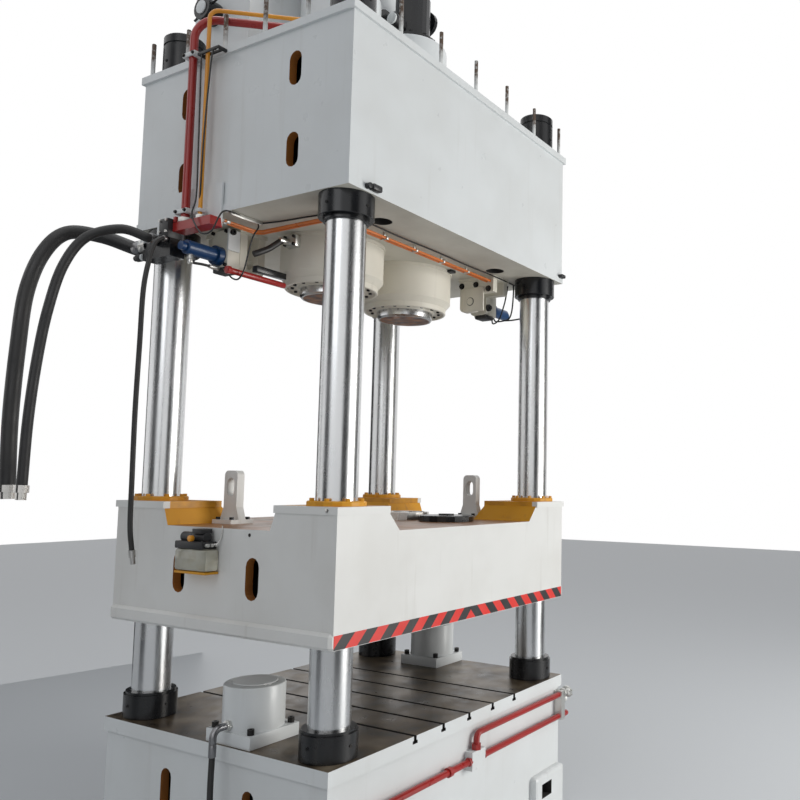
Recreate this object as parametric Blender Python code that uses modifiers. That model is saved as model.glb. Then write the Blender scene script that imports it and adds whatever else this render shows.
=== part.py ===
# Four-column hydraulic press with two main rams, a guided slide and a T-slotted bed
#
# Metres, +Z up. The origin is the centre of the bed's underside. X runs along the long side, and the
# side that carries the two red oil pipes faces -Y. Left is -X.

import math

import bmesh
import bpy
from mathutils import Matrix, Vector

# Common clearances and facet counts
seat_gap = 0.0003
running_gap = 0.0010
overrun = 0.020
merge_distance = 0.00001
sharp_angle = math.radians(35)
main_sides = 28
round_sides = 20
small_sides = 10
post_sides = 6
arc_steps = 6

# Bed
bed_height = 1.050
bolster_length = 2.730
bolster_depth = 2.040
bolster_thickness = 0.090
bed_inset = 0.018
bed_wall = 0.060
bed_base_thickness = 0.060
bed_deck_thickness = 0.080
bed_rib = 0.050
bed_end_bay = 0.490
bed_end_bay_depth = 1.240
bed_rib_hole_radius = 0.150
bed_slot_spread = 0.750
bed_slot_width = 0.100
bed_slot_height = 0.300
bed_slot_drop = 0.379
foot_length = 0.460
foot_height = 0.342
foot_proud = 0.060
foot_round = 0.025
foot_window = 0.156
foot_window_height = 0.109
foot_window_inset = 0.231
foot_window_level = 0.2195
foot_window_depth = 0.100

# T-slots in the bolster plate
t_slot_count = 5
t_slot_pitch = 0.300
t_slot_neck = 0.028
t_slot_head = 0.050
t_slot_head_height = 0.020
t_slot_depth = 0.048

# Columns and their nuts
column_diameter = 0.250
column_spread_x = 2.330
column_spread_y = 1.650
column_rise = 4.810
column_chamfer = 0.012
column_groove_width = 0.012
column_groove_depth = 0.006
column_groove_drop = 0.060
locknut_diameter = 0.360
locknut_height = 0.100
bed_nut_diameter = 0.340
bed_nut_height = 0.170
bed_nut_lip = 0.012
bed_nut_lip_height = 0.018
crown_nut_diameter = 0.343
crown_nut_height = 0.170
crown_nut_collar = 0.030
crown_nut_collar_height = 0.026
nut_chamfer = 0.006

# Crown
crown_clearance = 3.350
crown_length = 2.680
crown_depth = 2.000
crown_body_height = 1.087
crown_top_plate = 0.053
crown_bottom_plate = 0.050
crown_top_overhang = 0.020
crown_bottom_overhang = 0.006
crown_wall = 0.060
crown_rib = 0.050
crown_end_bay = 0.350
crown_end_bay_depth = 1.200
crown_slot_spread = 1.040
crown_slot_width = 0.105
crown_slot_height = 0.225
crown_slot_rise = 0.305
crown_slot_pitch = 0.530
crown_access_diameter = 0.150
crown_access_x = 0.710
crown_access_y = 0.708
post_diameter = 0.030
post_height = 0.265
post_inset = 0.029
post_count_x = 7
post_count_y = 6

# Main cylinders, glands and rams
cylinder_spread = 0.855
barrel_diameter = 0.600
barrel_rise = 0.810
barrel_crown_round = 0.030
cylinder_flange_diameter = 0.770
cylinder_flange_height = 0.023
cylinder_diameter = 0.750
cylinder_straight = 0.241
cylinder_taper_height = 0.045
gland_diameter = 0.675
gland_height = 0.060
gland_lip = 0.020
barrel_end_thickness = 0.100
barrel_nut_diameter = 0.760
barrel_nut_height = 0.110
ram_diameter = 0.455
ram_length = 2.060
ram_wall = 0.060
ram_floor = 0.120
ram_nose_chamfer = 0.012
ram_nose_height = 0.029
ram_drop = 0.040

# Prefill valves and their fill pipes
valve_foot_diameter = 0.440
valve_foot_height = 0.060
valve_body_diameter = 0.300
valve_body_height = 0.400
valve_cap_diameter = 0.220
valve_cap_height = 0.050
valve_port_level = 0.340
valve_flange_diameter = 0.220
valve_flange_thickness = 0.035
valve_flange_reach = 0.190
fill_pipe_diameter = 0.140
fill_flange_diameter = 0.230

# Oil tank
tank_length = 1.620
tank_depth = 0.600
tank_height = 1.500
tank_left = -1.020
tank_front = 0.320
tank_wall = 0.012
tank_neck_diameter = 0.120
tank_neck_height = 0.080
tank_rim_depth = 0.030
tank_rim_height = 0.030
tank_valve_diameter = 0.170
tank_valve_length = 0.130
tank_valve_rise = 0.440
tank_skid_height = 0.120
tank_skid_width = 0.060
tank_skid_inset = 0.120
tank_valve_y = 0.690

# Slide
slide_clearance = 0.648
slide_length = 2.710
slide_depth = 2.030
slide_deck_height = 0.649
slide_deck_thickness = 0.060
slide_base_thickness = 0.080
slide_wall = 0.060
slide_rib = 0.040
slide_end_bay = 0.480
slide_end_bay_depth = 1.200
slide_rib_hole_radius = 0.130
slide_slot_spread = 0.680
slide_slot_width = 0.115
slide_slot_height = 0.258
slide_slot_rise = 0.353
slide_band_height = 0.097
slide_band_proud = 0.025
slide_band_chamfer = 0.018
tower_rise = 0.108
tower_plate = 0.045
tower_plate_overhang = 0.012
tower_top_x = 0.920
tower_top_y = 0.525
tower_foot_x = 0.785
tower_foot_y = 0.470
seat_diameter = 0.480
seat_height = 0.060
seat_recess = 0.010
seat_rim = 0.030

# Guide caps and bushes
cap_diameter = 0.355
cap_height = 0.030
cap_bolt_count = 8
cap_bolt_diameter = 0.030
cap_bolt_height = 0.016
cap_bolt_circle = 0.312
bush_wall = 0.014
bush_length = 0.300
bush_seat_gap = 0.0005

# Lock lugs on the slide
lug_x = 0.927
lug_y = 0.367
lug_foot = 0.190
lug_foot_thickness = 0.028
lug_thickness = 0.060
lug_width = 0.130
lug_rise = 0.366
lug_corner = 0.035
lug_flare = 0.030
lug_flare_start = 0.115
lug_flare_end = 0.028
lug_hole_width = 0.072
lug_hole_height = 0.127
lug_hole_rise = 0.253

# Lock brackets, cylinders and pins under the crown
cheek_offset = 0.079
cheek_thickness = 0.060
cheek_width = 0.165
cheek_drop = 0.290
cheek_corner = 0.040
wing_reach = 0.175
wing_drop = 0.136
bracket_foot_length = 0.240
bracket_foot_thickness = 0.025
bracket_foot_margin = 0.010
pin_diameter = 0.060
pin_hole_gap = 0.0006
pin_drop = 0.210
pin_set_back = 0.009
pin_length = 0.300
pin_chamfer = 0.006
lock_housing_diameter = 0.110
lock_housing_length = 0.100
lock_barrel_diameter = 0.100
lock_barrel_length = 0.280
lock_cap_diameter = 0.120
lock_cap_length = 0.030
lock_barrel_floor = 0.020

# Levelling cylinders on the bed
levelling_x = 1.158
levelling_y = 0.185
levelling_base = 0.390
levelling_base_height = 0.080
levelling_diameter = 0.375
levelling_height = 0.345
levelling_round = 0.015
levelling_ram_diameter = 0.280
levelling_ram_length = 0.312
levelling_ram_proud = 0.007
elbow_diameter = 0.044
elbow_reach = 0.110
elbow_level = 0.120
elbow_bend = 0.050
elbow_drop = 0.080

# Oil pipes beside and under the crown
pressure_pipe_diameter = 0.055
pressure_pipe_bend = 0.150
pilot_pipe_diameter = 0.028
pilot_pipe_bend = 0.060
side_pipe_stand_off = 0.060
pressure_pipe_y = 0.390
pilot_pipe_y = 0.240
pressure_pipe_rise = 0.310
pilot_pipe_rise = 0.420
pipe_swing = 0.250
twin_pipe_diameter = 0.020
twin_pipe_pitch = 0.034
twin_pipe_bend = 0.060
twin_pipe_drop = 0.045
twin_pipe_start_y = 0.130
twin_pipe_turn_x = 1.015
twin_pipe_run_y = 0.575
clamp_width = 0.080
clamp_length = 0.040
clamp_height = 0.028
clamp_count = 5

# Valve manifold at the crown's left end
manifold_length = 0.290
manifold_depth = 0.110
manifold_height = 0.120
manifold_drop = 0.210
manifold_start_y = 0.460
hanger_thickness = 0.014
hanger_rise = 0.200
junction_length = 0.370
junction_height = 0.060
junction_drop = 0.075
port_flange_diameter = 0.110
port_flange_length = 0.050
port_small_diameter = 0.066
port_tiny_diameter = 0.040

# Oil pipes along the bed's front
front_pipe_diameter = 0.045
front_pipe_stand_off = 0.042
front_pipe_bend = 0.045
front_pipe_end_x = 1.330
front_upper_drop = 0.145
front_lower_drop = 0.318
front_upper_start_x = 0.060
front_block_length = 0.163
front_block_centre_x = 0.0615
front_block_drop = 0.319
front_block_height = 0.126
front_block_depth = 0.064
front_nut_diameter = 0.070
front_nut_height = 0.040
front_union_diameter = 0.066
front_union_length = 0.034
front_union_x = 0.260
front_end_block_length = 0.060
front_end_block_width = 0.060

# Lubrication unit on the slide's left end
pump_width = 0.250
pump_height = 0.095
pump_depth = 0.110
pump_y = 0.110
pump_rise = 0.575
pump_motor_diameter = 0.070
pump_motor_length = 0.090
reservoir_width = 0.310
reservoir_height = 0.140
reservoir_depth = 0.105
reservoir_round = 0.020
reservoir_y = 0.080

# Ram flange lying on the slide
flange_diameter = 0.430
flange_thickness = 0.046
flange_boss_diameter = 0.120
flange_boss_height = 0.012
flange_x = 0.390
flange_y = 0.500

# Hoses that hang at the crown's left end
return_hose_diameter = 0.094
feed_hose_diameter = 0.062
drain_hose_diameter = 0.032
levelling_hose_diameter = 0.036
return_hose_points = 15
feed_hose_points = 20
drain_hose_points = 32
levelling_hose_points = 30
hose_end_length = 0.090
hose_end_lip_share = 1.35

# Routes of the hoses, chosen by hand
return_hose_route = (
    (-1.4150, 0.8003, 3.1900 + bed_height),
    (-1.4150, 0.8800, 3.1900 + bed_height),
    (-1.5500, 1.0800, 3.2700 + bed_height),
    (-1.7300, 1.1800, 3.2600 + bed_height),
    (-1.8500, 1.2300, 3.1000 + bed_height),
    (-1.9300, 1.2500, 2.8200 + bed_height),
    (-1.9600, 1.2500, 2.4400 + bed_height),
    (-1.9750, 1.2500, 1.9800 + bed_height),
    (-1.9650, 1.2500, 1.5500 + bed_height),
)
feed_hose_route = (
    (-1.4653, 0.6000, 3.2000 + bed_height),
    (-1.5300, 0.6000, 3.2000 + bed_height),
    (-1.6600, 0.6900, 3.2350 + bed_height),
    (-1.8200, 0.8000, 3.1500 + bed_height),
    (-1.9200, 0.8600, 2.9500 + bed_height),
    (-1.9800, 0.8900, 2.6600 + bed_height),
    (-2.0200, 0.9000, 2.3400 + bed_height),
    (-2.0500, 0.9000, 1.9600 + bed_height),
    (-2.0600, 0.9000, 1.5500 + bed_height),
)
drain_hose_route = (
    (-1.4653, 0.4900, 3.1900 + bed_height),
    (-1.4950, 0.4900, 3.1900 + bed_height),
    (-1.5500, 0.4900, 3.1400 + bed_height),
    (-1.5800, 0.4900, 3.0300 + bed_height),
    (-1.6100, 0.4900, 2.8200 + bed_height),
    (-1.6150, 0.4900, 2.4600 + bed_height),
    (-1.6200, 0.4900, 2.0300 + bed_height),
    (-1.6150, 0.4900, 1.5800 + bed_height),
    (-1.6100, 0.4900, 1.3000 + bed_height),
    (-1.5900, 0.4900, 1.1500 + bed_height),
)
levelling_hose_route = (
    (-1.4583, -0.1850, 0.0397 + bed_height),
    (-1.4583, -0.1850, -0.0500 + bed_height),
    (-1.4640, -0.1900, -0.2500 + bed_height),
    (-1.4680, -0.2100, -0.5000 + bed_height),
    (-1.4850, -0.2700, -0.7600 + bed_height),
    (-1.5500, -0.3700, -0.9450 + bed_height),
    (-1.6600, -0.4300, -1.0180 + bed_height),
    (-1.8200, -0.4000, -1.0300 + bed_height),
    (-1.9500, -0.2800, -1.0290 + bed_height),
    (-1.9900, -0.1000, -1.0240 + bed_height),
)

# Levels and places worked out from the sizes above
bed_top = bed_height
bed_body_top = bed_top - bolster_thickness - seat_gap
bed_length = bolster_length - 2 * bed_inset
bed_depth = bolster_depth - 2 * bed_inset
crown_bottom = bed_top + crown_clearance
crown_body_top = crown_bottom + crown_body_height
crown_top = crown_body_top + crown_top_plate
slide_bottom = bed_top + slide_clearance
slide_deck = slide_bottom + slide_deck_height
tower_top = slide_deck + tower_rise + tower_plate
column_x = column_spread_x / 2
column_y = column_spread_y / 2
column_radius = column_diameter / 2
cylinder_x = cylinder_spread / 2
gland_top = crown_bottom - cylinder_flange_height - cylinder_straight - cylinder_taper_height
gland_bottom = gland_top - gland_height
ram_bottom = gland_bottom - ram_drop
barrel_top = crown_top + barrel_rise
ram_radius = ram_diameter / 2
bore_radius = ram_radius + running_gap
pin_level = crown_bottom - pin_drop
end_face_x = crown_length / 2 + crown_bottom_overhang
side_pipe_x = -(end_face_x + side_pipe_stand_off)
front_pipe_y = -(bed_depth / 2 + front_pipe_stand_off)

# Colours: linear red, green, blue, then roughness and metallic
finishes = {
    "white_paint": ((0.78, 0.78, 0.75), 0.45, 0.0),
    "cream_paint": ((0.72, 0.68, 0.58), 0.50, 0.0),
    "orange_primer": ((0.80, 0.27, 0.09), 0.60, 0.0),
    "red_paint": ((0.62, 0.05, 0.04), 0.45, 0.0),
    "blue_paint": ((0.06, 0.16, 0.42), 0.40, 0.0),
    "black_oxide": ((0.03, 0.03, 0.03), 0.50, 0.6),
    "chrome": ((0.80, 0.81, 0.83), 0.12, 1.0),
    "machined_steel": ((0.40, 0.37, 0.33), 0.40, 1.0),
    "rusty_steel": ((0.26, 0.15, 0.09), 0.65, 0.7),
    "black_rubber": ((0.02, 0.02, 0.02), 0.70, 0.0),
    "clear_plastic": ((0.70, 0.68, 0.55), 0.25, 0.0),
}

corners = {
    "front_left": (-1, -1),
    "front_right": (1, -1),
    "rear_left": (-1, 1),
    "rear_right": (1, 1),
}
sides = {"left": -1, "right": 1}

turns = {
    "Z": (0, 0, 0),
    "X": (0, math.pi / 2, 0),
    "-X": (0, -math.pi / 2, 0),
    "Y": (-math.pi / 2, 0, 0),
    "-Y": (math.pi / 2, 0, 0),
}
facings = {
    "Z": Matrix.Identity(4),
    "X": Matrix(((0, 0, 1, 0), (1, 0, 0, 0), (0, 1, 0, 0), (0, 0, 0, 1))),
    "Y": Matrix(((1, 0, 0, 0), (0, 0, -1, 0), (0, 1, 0, 0), (0, 0, 0, 1))),
}

for old in list(bpy.data.objects):
    bpy.data.objects.remove(old)

press = bpy.data.collections.new("hydraulic_press")
tools = bpy.data.collections.new("cutters")
bpy.context.scene.collection.children.link(press)
bpy.context.scene.collection.children.link(tools)


# Materials

def painted(piece, finish):
    """Give a piece a material of its own in one of the finishes."""
    colour, roughness, metallic = finishes[finish]
    material = bpy.data.materials.new(f"{piece.name}_{finish}")
    material.use_nodes = True
    shader = material.node_tree.nodes["Principled BSDF"]
    shader.inputs["Base Color"].default_value = (*colour, 1)
    shader.inputs["Roughness"].default_value = roughness
    shader.inputs["Metallic"].default_value = metallic
    piece.data.materials.clear()
    piece.data.materials.append(material)
    return piece


# Basic solids

def placed(name, data, centre, turn="Z"):
    piece = bpy.data.objects.new(name, data)
    piece.location = centre
    piece.rotation_euler = turns[turn]
    press.objects.link(piece)
    return piece


def block(name, low, high):
    """A box between two corners."""
    low, high = Vector(low), Vector(high)
    mesh = bpy.data.meshes.new(name)
    form = bmesh.new()
    bmesh.ops.create_cube(form, size=1)
    bmesh.ops.scale(form, vec=high - low, verts=form.verts)
    form.to_mesh(mesh)
    form.free()
    return placed(name, mesh, (low + high) / 2)


def rod(name, radius, length, centre, turn="Z", sides_used=round_sides):
    """A plain cylinder, centred."""
    mesh = bpy.data.meshes.new(name)
    form = bmesh.new()
    bmesh.ops.create_cone(
        form, cap_ends=True, segments=sides_used, radius1=radius, radius2=radius, depth=length)
    form.to_mesh(mesh)
    form.free()
    mesh.shade_smooth()
    mesh.set_sharp_from_angle(angle=sharp_angle)
    return placed(name, mesh, centre, turn)


def turned(name, profile, centre, turn="Z", sides_used=round_sides, ring=False):
    """A turned piece from (radius, height) points that run down its outer side."""
    mesh = bpy.data.meshes.new(name)
    points = [(radius, 0, height) for radius, height in profile]
    edges = [(spot, spot + 1) for spot in range(len(points) - 1)]
    if ring:
        edges.append((len(points) - 1, 0))
    mesh.from_pydata(points, edges, [])
    piece = placed(name, mesh, centre, turn)
    screw = piece.modifiers.new("Turning", "SCREW")
    screw.steps = sides_used
    screw.render_steps = sides_used
    screw.use_merge_vertices = True
    screw.merge_threshold = merge_distance
    screw.use_smooth_shade = True
    return piece


def as_mesh(piece):
    """Replace a curve object by a welded mesh object of the same name."""
    bpy.context.view_layer.update()
    name = piece.name
    mesh = bpy.data.meshes.new_from_object(
        piece.evaluated_get(bpy.context.evaluated_depsgraph_get()))
    form = bmesh.new()
    form.from_mesh(mesh)
    bmesh.ops.remove_doubles(form, verts=form.verts, dist=merge_distance)
    bmesh.ops.recalc_face_normals(form, faces=form.faces)
    form.to_mesh(mesh)
    form.free()
    solid = bpy.data.objects.new(f"{name}_solid", mesh)
    solid.matrix_world = piece.matrix_world
    bpy.data.objects.remove(piece)
    solid.name = name
    press.objects.link(solid)
    return solid


def plate(name, outline, thickness, centre, facing="Z"):
    """A flat plate cut to an outline. Its local X and Y lie in the plate."""
    curve = bpy.data.curves.new(name, "CURVE")
    curve.dimensions = "2D"
    curve.fill_mode = "BOTH"
    curve.extrude = thickness / 2
    spline = curve.splines.new("POLY")
    spline.points.add(len(outline) - 1)
    for spot, place in zip(spline.points, outline):
        spot.co = (*place, 0, 1)
    spline.use_cyclic_u = True
    piece = bpy.data.objects.new(name, curve)
    press.objects.link(piece)
    piece.matrix_world = Matrix.Translation(centre) @ facings[facing]
    return as_mesh(piece)


def tube(name, points, radius, level=2):
    """A round tube along a line of points."""
    curve = bpy.data.curves.new(name, "CURVE")
    curve.dimensions = "3D"
    curve.bevel_depth = radius
    curve.bevel_resolution = level
    curve.use_fill_caps = True
    spline = curve.splines.new("POLY")
    spline.points.add(len(points) - 1)
    for spot, place in zip(spline.points, points):
        spot.co = (*place, 1)
    piece = bpy.data.objects.new(name, curve)
    press.objects.link(piece)
    return piece


def combine(piece, operation, others):
    """Cut a piece with others, or fuse them to it, in one step."""
    group = bpy.data.collections.new(f"{piece.name}_{operation.lower()}")
    tools.children.link(group)
    for other in others:
        press.objects.unlink(other)
        group.objects.link(other)
        other.hide_render = True
        other.display_type = "WIRE"
    step = piece.modifiers.new(operation.title(), "BOOLEAN")
    step.operation = operation
    step.operand_type = "COLLECTION"
    step.collection = group
    step.solver = "EXACT"
    return piece


def softened(piece, width, segments=2):
    """Round every edge of a piece."""
    bevel = piece.modifiers.new("Rounding", "BEVEL")
    bevel.width = width
    bevel.segments = segments
    bevel.limit_method = "ANGLE"
    return piece


# Outlines and routes

def arc(centre, radius, start, sweep, steps=arc_steps):
    """Points of an arc in a plane, both ends included."""
    return [
        (
            centre[0] + radius * math.cos(start + sweep * step / steps),
            centre[1] + radius * math.sin(start + sweep * step / steps),
        )
        for step in range(steps + 1)
    ]


def obround(width, height):
    """An upright slot with round ends."""
    rise = height / 2 - width / 2
    return arc((0, rise), width / 2, 0, math.pi) + arc((0, -rise), width / 2, math.pi, math.pi)


def bent(points, radius, steps=4):
    """A pipe's route: straight runs with a round bend at each inner point."""
    places = [Vector(point) for point in points]
    route = [places[0]]
    for before, here, after in zip(places, places[1:], places[2:]):
        arriving = (here - before).normalized()
        leaving = (after - here).normalized()
        angle = arriving.angle(leaving)
        across = (leaving - arriving * arriving.dot(leaving)).normalized()
        start = here - arriving * radius * math.tan(angle / 2)
        for step in range(steps + 1):
            turn = angle * step / steps
            route.append(
                start + across * radius * (1 - math.cos(turn)) + arriving * radius * math.sin(turn))
    route.append(places[-1])
    return route


def smooth_route(points, count):
    """A straight start to the second point, then a smooth curve through the rest."""
    places = [Vector(point) for point in points]
    padded = [*places, places[-1] * 2 - places[-2]]
    spans = len(places) - 2
    route = [places[0]]
    for number in range(count):
        along = number * spans / (count - 1)
        span = min(int(along), spans - 1)
        t = along - span
        a, b, c, d = padded[span:span + 4]
        route.append(
            b + (c - a) * (t / 2)
            + (a * 2 - b * 5 + c * 4 - d) * (t * t / 2)
            + (b * 3 - a - c * 3 + d) * (t * t * t / 2))
    return route


# Bed

def bay_cutters(name, length, depth, low, high, wall, rib, end_bay, end_depth):
    """The four hollows of a welded box: two long bays and two end bays."""
    cutters = []
    for side, sign in sides.items():
        inner = length / 2 - wall - end_bay - rib
        middle = sorted((sign * rib / 2, sign * inner))
        end = sorted((sign * (inner + rib), sign * (length / 2 - wall)))
        half = depth / 2 - wall
        cutters.append(
            block(f"{name}_{side}_bay", (middle[0], -half, low), (middle[1], half, high)))
        cutters.append(
            block(f"{name}_{side}_end_bay", (end[0], -end_depth / 2, low),
                  (end[1], end_depth / 2, high)))
    return cutters


def column_bores(name, radius, low, high):
    return [
        rod(f"{name}_bore_{corner}", radius, high - low,
            (sx * column_x, sy * column_y, (low + high) / 2))
        for corner, (sx, sy) in corners.items()
    ]


def end_slots(name, face_x, spread, width, height, levels, wall):
    """Upright round-ended openings in both short walls."""
    return [
        plate(f"{name}_slot_{side}_{number}_{row}", obround(width, height), wall + 2 * overrun,
              (sign * (face_x - wall / 2), across * spread / 2, level), "X")
        for side, sign in sides.items()
        for number, across in enumerate((-1, 1))
        for row, level in enumerate(levels)
    ]


def rib_holes(name, reach, radius, spread, level):
    """Round openings through the ribs, in line along X."""
    return [
        rod(f"{name}_rib_hole_{number}", radius, 2 * reach, (0, across * spread / 2, level), "X",
            small_sides)
        for number, across in enumerate((-1, 1))
    ]


def make_bed():
    half_x, half_y = bed_length / 2, bed_depth / 2
    bed = block("bed_frame", (-half_x, -half_y, 0), (half_x, half_y, bed_body_top))
    feet = []
    windows = []
    for corner, (sx, sy) in corners.items():
        across = sorted((sx * half_x, sx * (half_x - foot_length)))
        deep = sorted((sy * (half_y - foot_proud), sy * (half_y + foot_proud)))
        foot = block(f"foot_{corner}", (across[0], deep[0], 0), (across[1], deep[1], foot_height))
        feet.append(softened(foot, foot_round))
        centre = sx * (half_x + bed_inset - foot_window_inset - foot_window / 2)
        face = half_y + foot_proud
        hollow = sorted((sy * (face - foot_window_depth), sy * (face + overrun)))
        windows.append(block(
            f"foot_window_{corner}",
            (centre - foot_window / 2, hollow[0], foot_window_level - foot_window_height / 2),
            (centre + foot_window / 2, hollow[1], foot_window_level + foot_window_height / 2)))
    combine(bed, "UNION", feet)
    sole = block("sole", (-half_x - overrun, -half_y - foot_proud - overrun, -foot_round - overrun),
                 (half_x + overrun, half_y + foot_proud + overrun, 0))
    bay_low, bay_high = bed_base_thickness, bed_body_top - bed_deck_thickness
    cutters = bay_cutters("bed", bed_length, bed_depth, bay_low, bay_high, bed_wall, bed_rib,
                          bed_end_bay, bed_end_bay_depth)
    cutters += column_bores("bed", column_radius + seat_gap, bed_base_thickness,
                            bed_body_top + overrun)
    cutters += end_slots("bed", half_x, bed_slot_spread, bed_slot_width, bed_slot_height,
                         (bed_top - bed_slot_drop,), bed_wall)
    cutters += rib_holes("bed", half_x - bed_wall - bed_end_bay / 2, bed_rib_hole_radius,
                         bed_slot_spread, (bay_low + bay_high) / 2)
    combine(bed, "DIFFERENCE", cutters + windows + [sole])
    painted(bed, "white_paint")


def t_slot_outline():
    """Half-widths of the slot's neck and head, from the top down."""
    neck, head = t_slot_neck / 2, t_slot_head / 2
    shoulder = t_slot_head_height - t_slot_depth
    return [(neck, overrun), (-neck, overrun), (-neck, shoulder), (-head, shoulder),
            (-head, -t_slot_depth), (head, -t_slot_depth), (head, shoulder), (neck, shoulder)]


def make_bolster():
    half_x, half_y = bolster_length / 2, bolster_depth / 2
    bolster = block("bolster_plate", (-half_x, -half_y, bed_top - bolster_thickness),
                    (half_x, half_y, bed_top))
    cutters = column_bores("bolster", column_radius + seat_gap,
                           bed_top - bolster_thickness - overrun, bed_top + overrun)
    for number in range(t_slot_count):
        x = (number - (t_slot_count - 1) / 2) * t_slot_pitch
        cutters.append(plate(f"t_slot_{number}", t_slot_outline(), bolster_depth + 2 * overrun,
                             (x, 0, bed_top), "Y"))
    combine(bolster, "DIFFERENCE", cutters)
    painted(bolster, "machined_steel")


# Columns

def make_columns():
    low = bed_base_thickness + seat_gap
    top = bed_top + column_rise
    groove_top = top - column_groove_drop
    groove_bottom = groove_top - column_groove_width
    nut_low = crown_top + seat_gap
    nut_high = nut_low + locknut_height
    inner = column_radius - column_groove_depth
    profile = [
        (0, top), (column_radius - column_chamfer, top), (column_radius, top - column_chamfer),
        (column_radius, groove_top), (inner, groove_top), (inner, groove_bottom),
        (column_radius, groove_bottom), (column_radius, nut_high),
        (locknut_diameter / 2 - nut_chamfer, nut_high),
        (locknut_diameter / 2, nut_high - nut_chamfer), (locknut_diameter / 2, nut_low),
        (column_radius, nut_low), (column_radius, low), (0, low),
    ]
    for corner, (sx, sy) in corners.items():
        painted(turned(f"column_{corner}", profile, (sx * column_x, sy * column_y, 0)), "chrome")


def make_nuts():
    """The big round nuts on the bed and under the crown."""
    bore = column_radius + seat_gap
    bed_outer = bed_nut_diameter / 2
    bed_low = bed_top + seat_gap
    bed_high = bed_low + bed_nut_height
    bed_profile = [
        (bore, bed_high), (bed_outer - bed_nut_lip, bed_high),
        (bed_outer - bed_nut_lip, bed_high - bed_nut_lip_height),
        (bed_outer, bed_high - bed_nut_lip_height), (bed_outer, bed_low + nut_chamfer),
        (bed_outer - nut_chamfer, bed_low), (bore, bed_low),
    ]
    crown_outer = crown_nut_diameter / 2
    collar = crown_outer - crown_nut_collar
    nut_high = crown_bottom - seat_gap
    nut_low = nut_high - crown_nut_height
    step = nut_low + crown_nut_collar_height
    crown_profile = [
        (bore, nut_high), (crown_outer, nut_high), (crown_outer, step + nut_chamfer),
        (crown_outer - nut_chamfer, step), (collar, step), (collar - nut_chamfer, nut_low),
        (bore, nut_low),
    ]
    for corner, (sx, sy) in corners.items():
        place = (sx * column_x, sy * column_y, 0)
        painted(turned(f"bed_nut_{corner}", bed_profile, place, ring=True), "black_oxide")
        painted(turned(f"crown_nut_{corner}", crown_profile, place, ring=True), "black_oxide")


# Crown

def post_places():
    """Places of the guard-rail posts round the crown's top edge."""
    half_x = crown_length / 2 - post_inset
    half_y = crown_depth / 2 - post_inset
    places = set()
    for number in range(post_count_x):
        x = half_x * (2 * number / (post_count_x - 1) - 1)
        places |= {(x, -half_y), (x, half_y)}
    for number in range(1, post_count_y - 1):
        y = half_y * (2 * number / (post_count_y - 1) - 1)
        places |= {(-half_x, y), (half_x, y)}
    return sorted(places)


def make_crown():
    half_x, half_y = crown_length / 2, crown_depth / 2
    crown = block("crown_frame", (-half_x, -half_y, crown_bottom), (half_x, half_y, crown_top))
    lip = crown_bottom_overhang
    overhang = crown_top_overhang
    extras = [
        block("crown_sole", (-half_x - lip, -half_y - lip, crown_bottom),
              (half_x + lip, half_y + lip, crown_bottom + crown_bottom_plate)),
        block("crown_lid", (-half_x - overhang, -half_y - overhang, crown_body_top),
              (half_x + overhang, half_y + overhang, crown_top)),
    ]
    for number, (x, y) in enumerate(post_places()):
        extras.append(rod(f"post_{number}", post_diameter / 2, post_height + overrun,
                          (x, y, crown_top + (post_height - overrun) / 2), "Z", post_sides))
    combine(crown, "UNION", extras)
    cutters = bay_cutters("crown", crown_length, crown_depth, crown_bottom + crown_bottom_plate,
                          crown_body_top, crown_wall, crown_rib, crown_end_bay,
                          crown_end_bay_depth)
    low, high = crown_bottom - overrun, crown_top + overrun
    cutters += column_bores("crown", column_radius + seat_gap, low, high)
    for side, sign in sides.items():
        cutters.append(rod(f"crown_cylinder_bore_{side}", barrel_diameter / 2 + seat_gap,
                           high - low, (sign * cylinder_x, 0, (low + high) / 2), "Z", main_sides))
    slot_low = crown_bottom + crown_slot_rise
    cutters += end_slots("crown", half_x, crown_slot_spread, crown_slot_width, crown_slot_height,
                         (slot_low, slot_low + crown_slot_pitch), crown_wall)
    for corner, (sx, sy) in corners.items():
        cutters.append(rod(
            f"crown_access_{corner}", crown_access_diameter / 2, crown_bottom_plate + 2 * overrun,
            (sx * crown_access_x, sy * crown_access_y, crown_bottom + crown_bottom_plate / 2)))
    combine(crown, "DIFFERENCE", cutters)
    painted(crown, "cream_paint")


# Main cylinders and rams

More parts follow.
